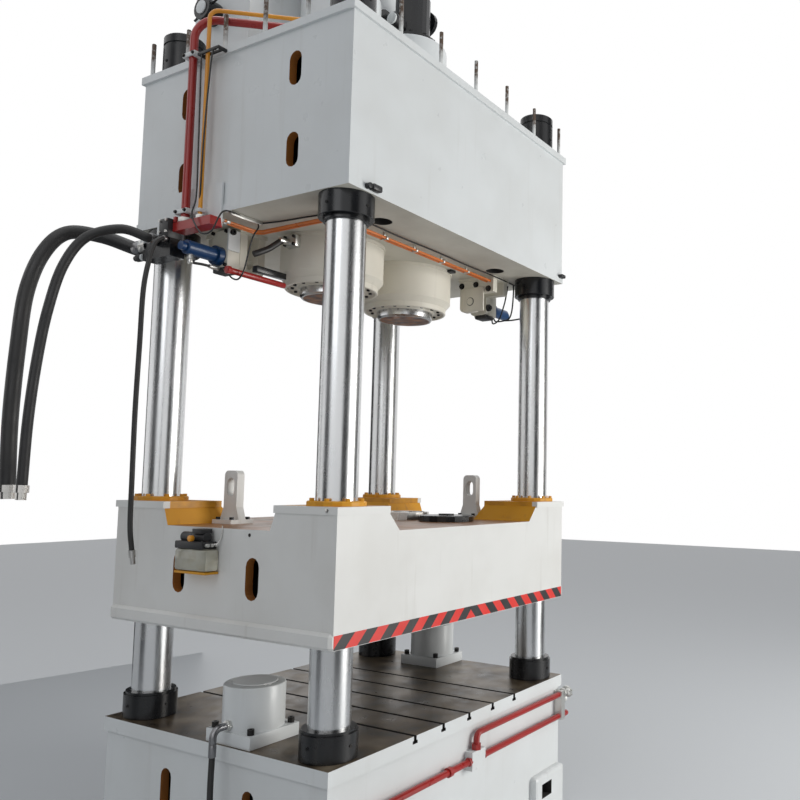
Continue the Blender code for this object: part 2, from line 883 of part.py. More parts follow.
def make_main_cylinders():
    barrel = barrel_diameter / 2
    flange_top = crown_bottom - seat_gap
    flange = cylinder_flange_diameter / 2
    body = cylinder_diameter / 2
    flange_low = crown_bottom - cylinder_flange_height
    body_low = flange_low - cylinder_straight
    gland = gland_diameter / 2
    ceiling = barrel_top - barrel_end_thickness
    cylinder_profile = [
        (0, barrel_top), (barrel - barrel_crown_round, barrel_top),
        (barrel, barrel_top - barrel_crown_round), (barrel, flange_top), (flange, flange_top),
        (flange, flange_low), (body, flange_low), (body, body_low), (gland, gland_top + seat_gap),
        (bore_radius, gland_top + seat_gap), (bore_radius, ceiling), (0, ceiling),
    ]
    gland_profile = [
        (bore_radius, gland_top), (gland, gland_top), (gland, gland_bottom + gland_lip),
        (gland - gland_lip, gland_bottom + gland_lip), (gland - gland_lip, gland_bottom),
        (bore_radius, gland_bottom),
    ]
    nut_low = crown_top + seat_gap
    nut_high = nut_low + barrel_nut_height
    nut = barrel_nut_diameter / 2
    nut_profile = [
        (barrel + seat_gap, nut_high), (nut - nut_chamfer, nut_high), (nut, nut_high - nut_chamfer),
        (nut, nut_low), (barrel + seat_gap, nut_low),
    ]
    nose = ram_radius - ram_nose_chamfer
    hollow = ram_radius - ram_wall
    ram_profile = [
        (0, ram_floor), (hollow, ram_floor), (hollow, ram_length), (ram_radius, ram_length),
        (ram_radius, ram_nose_height), (nose, 0), (0, 0),
    ]
    for side, sign in sides.items():
        place = (sign * cylinder_x, 0, 0)
        painted(turned(f"cylinder_{side}", cylinder_profile, place, sides_used=main_sides),
                "cream_paint")
        painted(turned(f"gland_{side}", gland_profile, place, sides_used=main_sides, ring=True),
                "black_oxide")
        painted(turned(f"cylinder_nut_{side}", nut_profile, place, sides_used=main_sides,
                       ring=True), "black_oxide")
        painted(turned(f"ram_{side}", ram_profile, (sign * cylinder_x, 0, ram_bottom),
                       sides_used=main_sides), "rusty_steel")


def make_prefill_valves():
    low = barrel_top + seat_gap
    body = valve_body_diameter / 2
    foot = valve_foot_diameter / 2
    cap = valve_cap_diameter / 2
    foot_top = low + valve_foot_height
    body_top = foot_top + valve_body_height
    cap_top = body_top + valve_cap_height
    port = foot_top + valve_port_level - valve_foot_height
    profile = [
        (0, cap_top), (cap, cap_top), (cap, body_top), (body, body_top), (body, foot_top),
        (foot, foot_top), (foot, low), (0, low),
    ]
    tank_face = tank_front - seat_gap
    for side, sign in sides.items():
        x = sign * cylinder_x
        valve = turned(f"prefill_valve_{side}", profile, (x, 0, 0))
        extras = [
            rod(f"valve_neck_{side}", fill_pipe_diameter / 2, valve_flange_reach,
                (x + valve_flange_reach / 2, 0, port), "X"),
            rod(f"valve_flange_{side}", valve_flange_diameter / 2, valve_flange_thickness,
                (x + valve_flange_reach, 0, port), "X"),
            rod(f"fill_pipe_{side}", fill_pipe_diameter / 2, tank_face, (x, tank_face / 2, port),
                "Y"),
            rod(f"fill_flange_{side}", fill_flange_diameter / 2, valve_flange_thickness,
                (x, tank_face - valve_flange_thickness / 2, port), "Y"),
        ]
        combine(valve, "UNION", extras)
        painted(valve, "black_oxide")
    return port


def make_tank(port_level):
    floor = crown_top + seat_gap
    low = floor + tank_skid_height
    left, front = tank_left, tank_front
    right, rear = left + tank_length, front + tank_depth
    high = floor + tank_height
    tank = block("oil_tank", (left, front, low), (right, rear, high))
    rim = block("tank_rim", (left - tank_rim_depth, front, high - tank_rim_height),
                (right + tank_rim_depth, rear + tank_rim_depth, high))
    neck_x, neck_y = (left + right) / 2, (front + rear) / 2
    neck = rod("tank_neck", tank_neck_diameter / 2, tank_neck_height + tank_wall,
               (neck_x, neck_y, high + (tank_neck_height - tank_wall) / 2))
    drain = rod("tank_valve", tank_valve_diameter / 2, tank_valve_length,
                (left - tank_valve_length / 2 + tank_wall / 2, tank_valve_y,
                 low + tank_valve_rise), "X")
    skids = [
        block(f"tank_skid_{number}", (left + tank_skid_inset, y, floor),
              (right - tank_skid_inset, y + tank_skid_width, low + tank_wall / 2))
        for number, y in enumerate((front + tank_skid_width,
                                    rear - 2 * tank_skid_width))
    ]
    combine(tank, "UNION", [rim, neck, drain, *skids])
    hollow = block("tank_hollow", (left + tank_wall, front + tank_wall, low + tank_wall),
                   (right - tank_wall, rear - tank_wall, high - tank_wall))
    ports = [
        rod(f"tank_port_{side}", fill_pipe_diameter / 2 - tank_wall, tank_wall + 2 * overrun,
            (sign * cylinder_x, front, port_level), "Y")
        for side, sign in sides.items()
    ]
    combine(tank, "DIFFERENCE", [hollow, *ports])
    painted(tank, "cream_paint")


# Slide

def make_slide():
    half_x, half_y = slide_length / 2, slide_depth / 2
    slide = block("slide_frame", (-half_x, -half_y, slide_bottom), (half_x, half_y, slide_deck))
    band = block("slide_band", (-half_x - slide_band_proud, -half_y, slide_bottom),
                 (half_x + slide_band_proud, half_y, slide_bottom + slide_band_height))
    extras = [softened(band, slide_band_chamfer, 1)]
    for corner, (sx, sy) in corners.items():
        tower_low = slide_deck - overrun
        plate_low = slide_deck + tower_rise
        inner = (sx * tower_top_x, sy * tower_top_y)
        outer = (sx * half_x, sy * half_y)
        tower_high = plate_low + tower_plate / 2
        tower = block(f"tower_{corner}",
                      (*(min(a, b) for a, b in zip(inner, outer)), tower_low),
                      (*(max(a, b) for a, b in zip(inner, outer)), tower_high))
        lean_tower(tower, sx, sy, tower_top_x - tower_foot_x, tower_top_y - tower_foot_y)
        lip = tower_plate_overhang
        cover_in = (sx * (tower_top_x - lip), sy * (tower_top_y - lip))
        cover_out = (sx * (half_x + lip), sy * (half_y + lip))
        extras.append(tower)
        extras.append(block(f"tower_plate_{corner}",
                            (*(min(a, b) for a, b in zip(cover_in, cover_out)), plate_low),
                            (*(max(a, b) for a, b in zip(cover_in, cover_out)), tower_top)))
    for side, sign in sides.items():
        seat = seat_diameter / 2
        seat_top = seat_height
        profile = [
            (0, seat_top - seat_recess), (seat - seat_rim, seat_top - seat_recess),
            (seat - seat_rim, seat_top), (seat, seat_top), (seat, -overrun), (0, -overrun),
        ]
        extras.append(turned(f"ram_seat_{side}", profile, (sign * cylinder_x, 0, slide_deck)))
    combine(slide, "UNION", extras)
    bay_low = slide_bottom + slide_base_thickness
    bay_high = slide_deck - slide_deck_thickness
    cutters = bay_cutters("slide", slide_length, slide_depth, bay_low, bay_high, slide_wall,
                          slide_rib, slide_end_bay, slide_end_bay_depth)
    bore = column_radius + running_gap + bush_wall + bush_seat_gap
    cutters += column_bores("slide", bore, slide_bottom - overrun, tower_top + overrun)
    cutters += end_slots("slide", half_x, slide_slot_spread, slide_slot_width, slide_slot_height,
                         (slide_bottom + slide_slot_rise,), slide_wall)
    cutters += rib_holes("slide", half_x - slide_wall - slide_end_bay / 2, slide_rib_hole_radius,
                         slide_slot_spread, (bay_low + bay_high) / 2)
    combine(slide, "DIFFERENCE", cutters)
    painted(slide, "white_paint")
    return slide


def lean_tower(tower, sx, sy, lean_x, lean_y):
    """Move the tower's inner bottom edges inwards, so that its inner walls slope."""
    for corner in tower.data.vertices:
        if corner.co.z > 0:
            continue
        if corner.co.x * sx < 0:
            corner.co.x -= sx * lean_x
        if corner.co.y * sy < 0:
            corner.co.y -= sy * lean_y


def make_guide_caps():
    bore = column_radius + running_gap
    outer = cap_diameter / 2
    bush = bore + bush_wall
    low = tower_top + seat_gap
    high = low + cap_height
    profile = [
        (bore, high), (outer - nut_chamfer, high), (outer, high - nut_chamfer), (outer, low),
        (bush, low), (bush, low - bush_length), (bore, low - bush_length),
    ]
    pieces = []
    for corner, (sx, sy) in corners.items():
        x, y = sx * column_x, sy * column_y
        cap = turned(f"guide_cap_{corner}", profile, (x, y, 0), ring=True)
        bolts = []
        for number in range(cap_bolt_count):
            angle = math.tau * (number + 0.5) / cap_bolt_count
            spot = (x + cap_bolt_circle / 2 * math.cos(angle),
                    y + cap_bolt_circle / 2 * math.sin(angle), high)
            bolts.append(rod(f"cap_bolt_{corner}_{number}", cap_bolt_diameter / 2,
                             2 * cap_bolt_height, spot, "Z", 6))
        combine(cap, "UNION", bolts)
        pieces.append(painted(cap, "orange_primer"))
    return pieces


def make_lugs():
    """The plates on the slide that the lock pins hold when the slide is parked."""
    pieces = []
    half = lug_width / 2
    top = lug_rise
    outline = [(half + lug_flare, lug_flare_end - overrun / 2), (half + lug_flare, lug_flare_end),
               (half, lug_flare_start)]
    outline += arc((half - lug_corner, top - lug_corner), lug_corner, 0, math.pi / 2)
    outline += arc((lug_corner - half, top - lug_corner), lug_corner, math.pi / 2, math.pi / 2)
    outline += [(-half, lug_flare_start), (-half - lug_flare, lug_flare_end),
                (-half - lug_flare, lug_flare_end - overrun / 2)]
    for side, sign in sides.items():
        x, y = sign * lug_x, -sign * lug_y
        low = slide_deck + seat_gap
        lug = plate(f"lock_lug_{side}", outline, lug_thickness, (x, y, low), "X")
        foot = block(f"lug_foot_{side}", (x - lug_foot / 2, y - lug_foot / 2, low),
                     (x + lug_foot / 2, y + lug_foot / 2, low + lug_foot_thickness))
        combine(lug, "UNION", [foot])
        hole = plate(f"lug_hole_{side}", obround(lug_hole_width, lug_hole_height),
                     lug_thickness + 2 * overrun, (x, y, low + lug_hole_rise), "X")
        combine(lug, "DIFFERENCE", [hole])
        pieces.append(painted(lug, "cream_paint"))
    return pieces


def make_ram_flange():
    """The ram's end flange, taken off and laid on the slide."""
    outer = flange_diameter / 2
    boss = flange_boss_diameter / 2
    low = slide_deck + seat_gap
    high = low + flange_thickness
    profile = [
        (0, high + flange_boss_height), (boss, high + flange_boss_height), (boss, high),
        (outer - nut_chamfer, high), (outer, high - nut_chamfer), (outer, low), (0, low),
    ]
    flange = turned("ram_flange", profile, (flange_x, -flange_y, 0))
    return painted(flange, "black_oxide")


def make_lubrication():
    face = -slide_length / 2 - seat_gap
    low = slide_bottom + pump_rise - pump_height
    pump = block("lube_pump", (face - pump_depth, pump_y - pump_width / 2, low),
                 (face, pump_y + pump_width / 2, low + pump_height))
    softened(pump, nut_chamfer)
    motor = rod("pump_motor", pump_motor_diameter / 2, pump_motor_length,
                (face - pump_depth / 2, pump_y + pump_width / 2 + pump_motor_length / 2 - nut_chamfer,
                 low + pump_height / 2), "Y")
    combine(pump, "UNION", [motor])
    painted(pump, "black_oxide")
    high = low - seat_gap
    reservoir = block("lube_reservoir",
                      (face - reservoir_depth, reservoir_y - reservoir_width / 2,
                       high - reservoir_height),
                      (face, reservoir_y + reservoir_width / 2, high))
    softened(reservoir, reservoir_round)
    painted(reservoir, "clear_plastic")
    return [pump, reservoir]


# Slide locks under the crown

def make_locks():
    plate_low = crown_bottom - bracket_foot_thickness
    half = cheek_width / 2
    top = -seat_gap
    outline = [(half, top), (half, -cheek_drop + cheek_corner)]
    outline += arc((half - cheek_corner, cheek_corner - cheek_drop), cheek_corner, 0, -math.pi / 2)
    outline += arc((cheek_corner - half, cheek_corner - cheek_drop), cheek_corner, -math.pi / 2,
                   -math.pi / 2)
    outline += [(-half, -wing_drop), (-half - wing_reach, -wing_drop), (-half - wing_reach, top)]
    pin_radius = pin_diameter / 2
    hole = pin_radius + pin_hole_gap
    housing = lock_housing_diameter / 2
    barrel = lock_barrel_diameter / 2
    cap = lock_cap_diameter / 2
    cap_at = lock_housing_length + lock_barrel_length
    end = cap_at + lock_cap_length
    floor = end - lock_barrel_floor
    cylinder_profile = [
        (0, end), (cap, end), (cap, cap_at), (barrel, cap_at), (barrel, lock_housing_length),
        (housing, lock_housing_length), (housing, 0), (hole, 0), (hole, floor), (0, floor),
    ]
    pin_profile = [
        (0, 0), (pin_radius - pin_chamfer, 0), (pin_radius, -pin_chamfer),
        (pin_radius, -pin_length), (0, -pin_length),
    ]
    pins = []
    for side, sign in sides.items():
        x, y = sign * lug_x, -sign * lug_y
        flip = [(-across * -sign, up) for across, up in outline]
        cheeks = [
            plate(f"cheek_{side}_{number}", flip, cheek_thickness,
                  (x + step * cheek_offset, y, crown_bottom), "X")
            for number, step in enumerate((-1, 1))
        ]
        inner, outer = -half - bracket_foot_margin, half + wing_reach + bracket_foot_margin
        deep = sorted((y - sign * inner, y - sign * outer))
        foot = block(f"lock_bracket_{side}", (x - bracket_foot_length / 2, deep[0], plate_low),
                     (x + bracket_foot_length / 2, deep[1], crown_bottom - seat_gap))
        combine(foot, "UNION", cheeks)
        pin_hole = rod(f"pin_hole_{side}", hole, 2 * (cheek_offset + cheek_thickness),
                       (x, y, pin_level), "X")
        combine(foot, "DIFFERENCE", [pin_hole])
        painted(foot, "cream_paint")
        face = x + sign * (cheek_offset + cheek_thickness / 2 + seat_gap)
        outward = "X" if sign > 0 else "-X"
        inward = "-X" if sign > 0 else "X"
        cylinder = turned(f"lock_cylinder_{side}", cylinder_profile, (face, y, pin_level), outward)
        painted(cylinder, "blue_paint")
        tip = x + sign * (cheek_offset - cheek_thickness / 2 + pin_set_back)
        pin = turned(f"lock_pin_{side}", pin_profile, (tip, y, pin_level), inward)
        pins.append(painted(pin, "chrome"))
    return pins


# Levelling cylinders

def make_levelling():
    base_low = bed_top + seat_gap
    bore = levelling_ram_diameter / 2 + running_gap
    body = levelling_diameter / 2
    top = levelling_height - levelling_base_height
    ram_foot = levelling_height + levelling_ram_proud - levelling_ram_length
    profile = [
        (bore, top), (body - levelling_round, top), (body, top - levelling_round), (body, -overrun),
        (bore, -overrun),
    ]
    ram = levelling_ram_diameter / 2
    ram_profile = [
        (0, levelling_ram_length), (ram - nut_chamfer, levelling_ram_length),
        (ram, levelling_ram_length - nut_chamfer), (ram, 0), (0, 0),
    ]
    rams = []
    for side, sign in sides.items():
        x, y = sign * levelling_x, sign * levelling_y
        half = levelling_base / 2
        base = block(f"levelling_cylinder_{side}", (x - half, y - half, base_low),
                     (x + half, y + half, base_low + levelling_base_height))
        barrel = turned(f"levelling_barrel_{side}", profile,
                        (x, y, base_low + levelling_base_height), ring=True)
        extras = [barrel]
        if side == "left":
            start = Vector((x - body + overrun, y, base_low + elbow_level))
            bend = Vector((x - body - elbow_reach, y, start.z))
            end = Vector((bend.x, y, bend.z - elbow_drop))
            extras.append(as_mesh(tube("elbow", bent((start, bend, end), elbow_bend),
                                       elbow_diameter / 2, 4)))
        combine(base, "UNION", extras)
        well = rod(f"levelling_well_{side}", bore, levelling_height,
                   (x, y, base_low + ram_foot - seat_gap + levelling_height / 2))
        combine(base, "DIFFERENCE", [well])
        painted(base, "black_oxide")
        piston = turned(f"levelling_ram_{side}", ram_profile, (x, y, base_low + ram_foot))
        rams.append(painted(piston, "machined_steel"))
    return rams


# Pipes and the valve manifold

def make_side_pipes():
    low = crown_bottom - junction_drop + junction_height / 2 + seat_gap
    x = side_pipe_x
    level = crown_top + pressure_pipe_rise
    y = pressure_pipe_y
    end_radius = barrel_diameter / 2 + seat_gap + pressure_pipe_diameter / 8
    turn_x = -cylinder_x - barrel_diameter / 2 - pipe_swing
    centre = Vector((-cylinder_x, 0, level))
    swing = Vector((turn_x, -pipe_swing / 2, level))
    end = centre + (swing - centre).normalized() * end_radius
    route = bent(((x, y, low), (x, y, level), swing, end), pressure_pipe_bend, arc_steps)
    painted(tube("pressure_pipe", route, pressure_pipe_diameter / 2, 4), "red_paint")
    level = crown_top + pilot_pipe_rise
    y = pilot_pipe_y
    turn = Vector((turn_x, y, level))
    centre = Vector((-cylinder_x, 0, level))
    end = centre + (turn - centre).normalized() * end_radius
    route = bent(((x, y, low), (x, y, level), turn, end), pilot_pipe_bend)
    painted(tube("pilot_pipe", route, pilot_pipe_diameter / 2), "orange_primer")


def make_twin_pipes():
    """Two small pipes clipped side by side under the crown, from the manifold to the right lock."""
    level = crown_bottom - twin_pipe_drop
    start_x = -(end_face_x - seat_gap)
    end_x = lug_x - cheek_offset - cheek_thickness / 2 - seat_gap
    tubes = []
    for number, across in enumerate((-1, 1)):
        shift = across * twin_pipe_pitch / 2
        route = bent((
            (start_x, twin_pipe_start_y + shift, level),
            (-twin_pipe_turn_x + shift, twin_pipe_start_y + shift, level),
            (-twin_pipe_turn_x + shift, -twin_pipe_run_y + shift, level),
            (end_x, -twin_pipe_run_y + shift, level),
        ), twin_pipe_bend)
        tubes.append(as_mesh(tube(f"twin_pipe_{number}", route, twin_pipe_diameter / 2)))
    first = tubes[0]
    first.name = "twin_pipes"
    span = end_x + twin_pipe_turn_x - 2 * clamp_width
    clamps = []
    clamp_low = level - clamp_height / 2
    clamp_high = crown_bottom - seat_gap
    for number in range(clamp_count):
        x = -twin_pipe_turn_x + 2 * clamp_width + span * number / clamp_count
        clamps.append(block(
            f"clamp_{number}",
            (x - clamp_length / 2, -twin_pipe_run_y - clamp_width / 2, clamp_low),
            (x + clamp_length / 2, -twin_pipe_run_y + clamp_width / 2, clamp_high)))
    combine(first, "UNION", [tubes[1], *clamps])
    painted(first, "orange_primer")


def make_manifold():
    inner = -(end_face_x + seat_gap)
    outer = inner - manifold_depth
    level = crown_bottom - manifold_drop
    low, high = level - manifold_height / 2, level + manifold_height / 2
    near, far = manifold_start_y, manifold_start_y + manifold_length
    manifold = block("valve_manifold", (outer, near, low), (inner, far, high))
    junction_y = near - junction_length
    junction = crown_bottom - junction_drop
    extras = [
        block("manifold_hanger", (inner - hanger_thickness, near, low),
              (inner, far, crown_bottom + hanger_rise)),
        block("junction_hanger", (inner - hanger_thickness, junction_y,
                                  junction - junction_height / 2),
              (inner, near + overrun, crown_bottom + hanger_rise)),
        block("pilot_junction", (outer + hanger_thickness, junction_y, junction - junction_height / 2),
              (inner, near + overrun, junction + junction_height / 2)),
        rod("return_port", port_flange_diameter / 2, port_flange_length + overrun,
            (return_hose_route[0][0], far + (port_flange_length - overrun) / 2,
             return_hose_route[0][2]), "Y"),
        rod("feed_port", port_small_diameter / 2, manifold_depth / 2,
            (feed_hose_route[0][0] + seat_gap + manifold_depth / 4, feed_hose_route[0][1],
             feed_hose_route[0][2]), "X", small_sides),
        rod("drain_port", port_tiny_diameter / 2, manifold_depth / 2,
            (drain_hose_route[0][0] + seat_gap + manifold_depth / 4, drain_hose_route[0][1],
             drain_hose_route[0][2]), "X", small_sides),
    ]
    combine(manifold, "UNION", extras)
    painted(manifold, "red_paint")


def make_front_pipes():
    """The two red oil pipes along the bed's front, with their end fittings."""
    radius = front_pipe_diameter / 2
    y = front_pipe_y
    back = -(bed_depth / 2 + seat_gap)
    upper = bed_top - front_upper_drop
    lower = bed_top - front_lower_drop
    end_x = front_pipe_end_x
    block_top = bed_top - front_block_drop + front_block_height / 2
    block_low = block_top - front_block_height
    block_left = front_block_centre_x - front_block_length / 2
    block_right = block_left + front_block_length
    fall = as_mesh(tube("bed_pipes_right", bent((
        (front_upper_start_x, y, block_top + seat_gap), (front_upper_start_x, y, upper),
        (end_x, y, upper)), front_pipe_bend), radius, 4))
    nut = rod("pipe_nut", front_nut_diameter / 2, front_nut_height,
              (front_upper_start_x, y, block_top + seat_gap + front_nut_height / 2), "Z", 6)
    run = as_mesh(tube("lower_run", ((block_right + seat_gap, y, lower), (end_x, y, lower)),
                       radius, 4))
    width = front_end_block_width / 2
    ends = block("pipe_end_block", (end_x - front_end_block_length, y - width, lower - width),
                 (end_x, back, upper + width))
    combine(fall, "UNION", [nut, run, ends])
    painted(fall, "red_paint")
    left = as_mesh(tube("bed_pipe_left", ((block_left + overrun, y, lower), (-end_x, y, lower)),
                        radius, 4))
    centre = block("pipe_block", (block_left, back - front_block_depth, block_low),
                   (block_right, back, block_top))
    union = rod("pipe_union", front_union_diameter / 2, front_union_length,
                (-front_union_x, y, lower), "X", small_sides)
    foot = block("pipe_foot", (-end_x, y - width, lower - width),
                 (front_end_block_length - end_x, back, lower + width))
    combine(left, "UNION", [centre, union, foot])
    painted(left, "red_paint")


# Hoses

def hose_end(name, tip, direction, radius):
    """A steel end fitting that carries on from a hose's last point."""
    lip = radius * hose_end_lip_share
    length = hose_end_length
    profile = [
        (0, length), (radius, length), (radius, length / 2), (lip, length / 2), (lip, 0), (0, 0),
    ]
    fitting = turned(name, profile, tip + direction * seat_gap)
    fitting.rotation_euler = direction.to_track_quat("Z", "Y").to_euler()
    return painted(fitting, "machined_steel")


def make_hoses():
    hoses = (
        ("return_hose", return_hose_route, return_hose_diameter, return_hose_points),
        ("feed_hose", feed_hose_route, feed_hose_diameter, feed_hose_points),
        ("drain_hose", drain_hose_route, drain_hose_diameter, drain_hose_points),
        ("levelling_hose", levelling_hose_route, levelling_hose_diameter, levelling_hose_points),
    )
    for name, points, diameter, count in hoses:
        route = smooth_route(points, count)
        painted(tube(name, route, diameter / 2), "black_rubber")
        hose_end(f"{name}_end", route[-1], (route[-1] - route[-2]).normalized(), diameter / 2)


def carried_by(axis_name, place, pieces):
    """Hang pieces on an empty that stands on their joint's axis."""
    axis = bpy.data.objects.new(axis_name, None)
    axis.location = place
    press.objects.link(axis)
    bpy.context.view_layer.update()
    for piece in pieces:
        piece.parent = axis
        piece.matrix_parent_inverse = axis.matrix_world.inverted()


make_bed()
make_bolster()
make_columns()
make_nuts()
make_crown()
make_main_cylinders()
fill_level = make_prefill_valves()
make_tank(fill_level)
slide_pieces = [make_slide(), *make_guide_caps(), *make_lugs(), make_ram_flange()]
slide_pieces += make_lubrication()
carried_by("slide_axis", (0, 0, slide_bottom), slide_pieces)
make_locks()
make_levelling()
make_side_pipes()
make_twin_pipes()
make_manifold()
make_front_pipes()
make_hoses()
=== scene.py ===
# %% [markdown]
# # A four-column hydraulic press
#
# The press stands between jobs. Its slide hangs on four chromed columns over a bed with T-slots, and both
# main rams are drawn up into their cylinders under the crown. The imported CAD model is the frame. This
# notebook dresses it with paint, hoses, cables, bolts, fittings and stripes, one kind of piece at a time.

# %% Load the frame
import math

import bpy
from mathutils import Matrix, Vector


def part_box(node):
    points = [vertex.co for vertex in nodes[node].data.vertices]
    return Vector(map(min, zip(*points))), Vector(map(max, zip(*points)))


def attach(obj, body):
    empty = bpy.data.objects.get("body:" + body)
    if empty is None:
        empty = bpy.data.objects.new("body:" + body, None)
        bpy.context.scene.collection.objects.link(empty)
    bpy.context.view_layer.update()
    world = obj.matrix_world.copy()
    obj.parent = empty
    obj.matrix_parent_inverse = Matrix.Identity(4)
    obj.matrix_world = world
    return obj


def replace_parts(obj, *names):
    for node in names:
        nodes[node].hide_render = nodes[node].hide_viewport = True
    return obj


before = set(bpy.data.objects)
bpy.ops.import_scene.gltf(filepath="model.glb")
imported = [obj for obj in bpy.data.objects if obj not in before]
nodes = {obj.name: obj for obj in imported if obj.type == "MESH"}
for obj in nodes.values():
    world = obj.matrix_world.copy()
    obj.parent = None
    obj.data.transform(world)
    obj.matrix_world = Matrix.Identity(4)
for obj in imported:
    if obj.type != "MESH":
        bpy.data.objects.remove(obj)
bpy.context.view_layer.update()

bpy.ops.object.select_all(action="DESELECT")
print("CAD nodes:", len(nodes))

# %% [markdown]
# ## The camera
#
# The photographer stood off the corner between the short left end and the long front, eyes 1.6 m above the
# bed. The picture is a crop, so the lens axis lies right of its middle, which the two shifts repeat.

# %% Camera
picture_width = 800
focal_pixels = 802.398
axis_column, axis_row = 537.969, 413.550
yaw, pitch, roll = 1.05212, 0.08773, 0.01219
eye = Vector((-4.77143, -4.26452, 2.64465))
sensor_width = 36.0

forward = Vector((math.cos(pitch) * math.sin(yaw), math.cos(pitch) * math.cos(yaw), math.sin(pitch)))
level = Vector((math.cos(yaw), -math.sin(yaw), 0))
upright = level.cross(forward)
right = math.cos(roll) * level + math.sin(roll) * upright
up = math.cos(roll) * upright - math.sin(roll) * level

camera_data = bpy.data.cameras.new("camera")
camera_data.sensor_width = sensor_width
camera_data.lens = focal_pixels / picture_width * sensor_width
camera_data.shift_x = 0.5 - axis_column / picture_width
camera_data.shift_y = axis_row / picture_width - 0.5
camera = bpy.data.objects.new("camera", camera_data)
camera.matrix_world = Matrix.Translation(eye) @ Matrix((right, up, -forward)).transposed().to_4x4()
bpy.context.scene.collection.objects.link(camera)
bpy.context.scene.camera = camera
print("Lens:", round(camera_data.lens, 2), "mm")

# %% [markdown]
# ## Paint, metal and rubber
#
# Every finish is mixed from the object's own coordinates: a broad cloudiness, vertical drips where oil and
# dust have run down, and a fine grain for the bump. Real enamel on a press is never one even colour.

# %% Material tools
def wire(tree, source, target):
    """Links a socket, or sets a constant on the target's own socket."""
    if isinstance(source, bpy.types.NodeSocket):
        tree.links.new(source, target)
    else:
        target.default_value = source


def object_place(tree):
    """The point in the object's own coordinates."""
    return tree.nodes.new("ShaderNodeTexCoord").outputs["Object"]


def cloud(tree, scale, detail=4.0, stretch=(1, 1, 1)):
    """A noise value, squeezed along the axes by the stretch."""
    mapping = tree.nodes.new("ShaderNodeMapping")
    mapping.inputs["Scale"].default_value = stretch
    tree.links.new(object_place(tree), mapping.inputs["Vector"])
    noise = tree.nodes.new("ShaderNodeTexNoise")
    noise.inputs["Scale"].default_value = scale
    noise.inputs["Detail"].default_value = detail
    tree.links.new(mapping.outputs["Vector"], noise.inputs["Vector"])
    return noise.outputs["Fac"]


def step(tree, value, low, high, start=0.0, end=1.0):
    """Runs from start to end while the value runs from low to high."""
    node = tree.nodes.new("ShaderNodeMapRange")
    wire(tree, value, node.inputs["Value"])
    for name, constant in (("From Min", low), ("From Max", high), ("To Min", start), ("To Max", end)):
        node.inputs[name].default_value = constant
    return node.outputs["Result"]


def blend(tree, factor, first, second):
    """Mixes two colours."""
    node = tree.nodes.new("ShaderNodeMix")
    node.data_type = "RGBA"
    wire(tree, factor, node.inputs[0])
    wire(tree, first, node.inputs[6])
    wire(tree, second, node.inputs[7])
    return node.outputs[2]


def calculated(tree, operation, *values):
    """The result of a math node on one or two values."""
    node = tree.nodes.new("ShaderNodeMath")
    node.operation = operation
    for socket, value in zip(node.inputs, values):
        wire(tree, value, socket)
    return node.outputs[0]


def along(tree, axis):
    """The point's distance along one of the object's own axes."""
    split = tree.nodes.new("ShaderNodeSeparateXYZ")
    tree.links.new(object_place(tree), split.inputs[0])
    return split.outputs[axis]


def grained(tree, shader, scale, strength, detail=3.0, stretch=(1, 1, 1)):
    """Gives the shader a bump of fine grain."""
    bump = tree.nodes.new("ShaderNodeBump")
    bump.inputs["Strength"].default_value = strength
    bump.inputs["Distance"].default_value = 0.002
    tree.links.new(cloud(tree, scale, detail, stretch), bump.inputs["Height"])
    tree.links.new(bump.outputs["Normal"], shader.inputs["Normal"])


def blank(name):
    """A new material with its node tree and its shader."""
    material = bpy.data.materials.new(name)
    material.use_nodes = True
    return material, material.node_tree, material.node_tree.nodes["Principled BSDF"]


def coated(name, colour, grime, roughness=0.4, clouds=0.25, drips=0.35, grain=0.06, metallic=0.0, coat=0.0):
    """Enamel or oxide: a colour that grime clouds over and runs down in drips."""
    material, tree, shader = blank(name)
    hazy = blend(tree, step(tree, cloud(tree, 1.7), 0.42, 0.72, 0, clouds), (*colour, 1), (*grime, 1))
    runs = step(tree, cloud(tree, 2.6, 5.0, (5, 5, 0.35)), 0.60, 0.74, 0, drips)
    wire(tree, blend(tree, runs, hazy, (*grime, 1)), shader.inputs["Base Color"])
    worn = step(tree, cloud(tree, 7.0), 0.3, 0.7, roughness * 0.85, min(1.0, roughness * 1.25))
    wire(tree, worn, shader.inputs["Roughness"])
    shader.inputs["Metallic"].default_value = metallic
    shader.inputs["Coat Weight"].default_value = coat
    grained(tree, shader, 180, grain)
    return material


def speckled(name, dark, middle, light, scale=9.0, roughness=0.6, metallic=0.3, grain=0.25):
    """Rust or oily steel: three tones in patches."""
    material, tree, shader = blank(name)
    patches = cloud(tree, scale, 8.0)
    low = blend(tree, step(tree, patches, 0.36, 0.52), (*dark, 1), (*middle, 1))
    wire(tree, blend(tree, step(tree, patches, 0.54, 0.70), low, (*light, 1)), shader.inputs["Base Color"])
    worn = step(tree, cloud(tree, scale * 2), 0.3, 0.7, roughness * 0.6, roughness)
    wire(tree, worn, shader.inputs["Roughness"])
    shader.inputs["Metallic"].default_value = metallic
    grained(tree, shader, 120, grain)
    return material


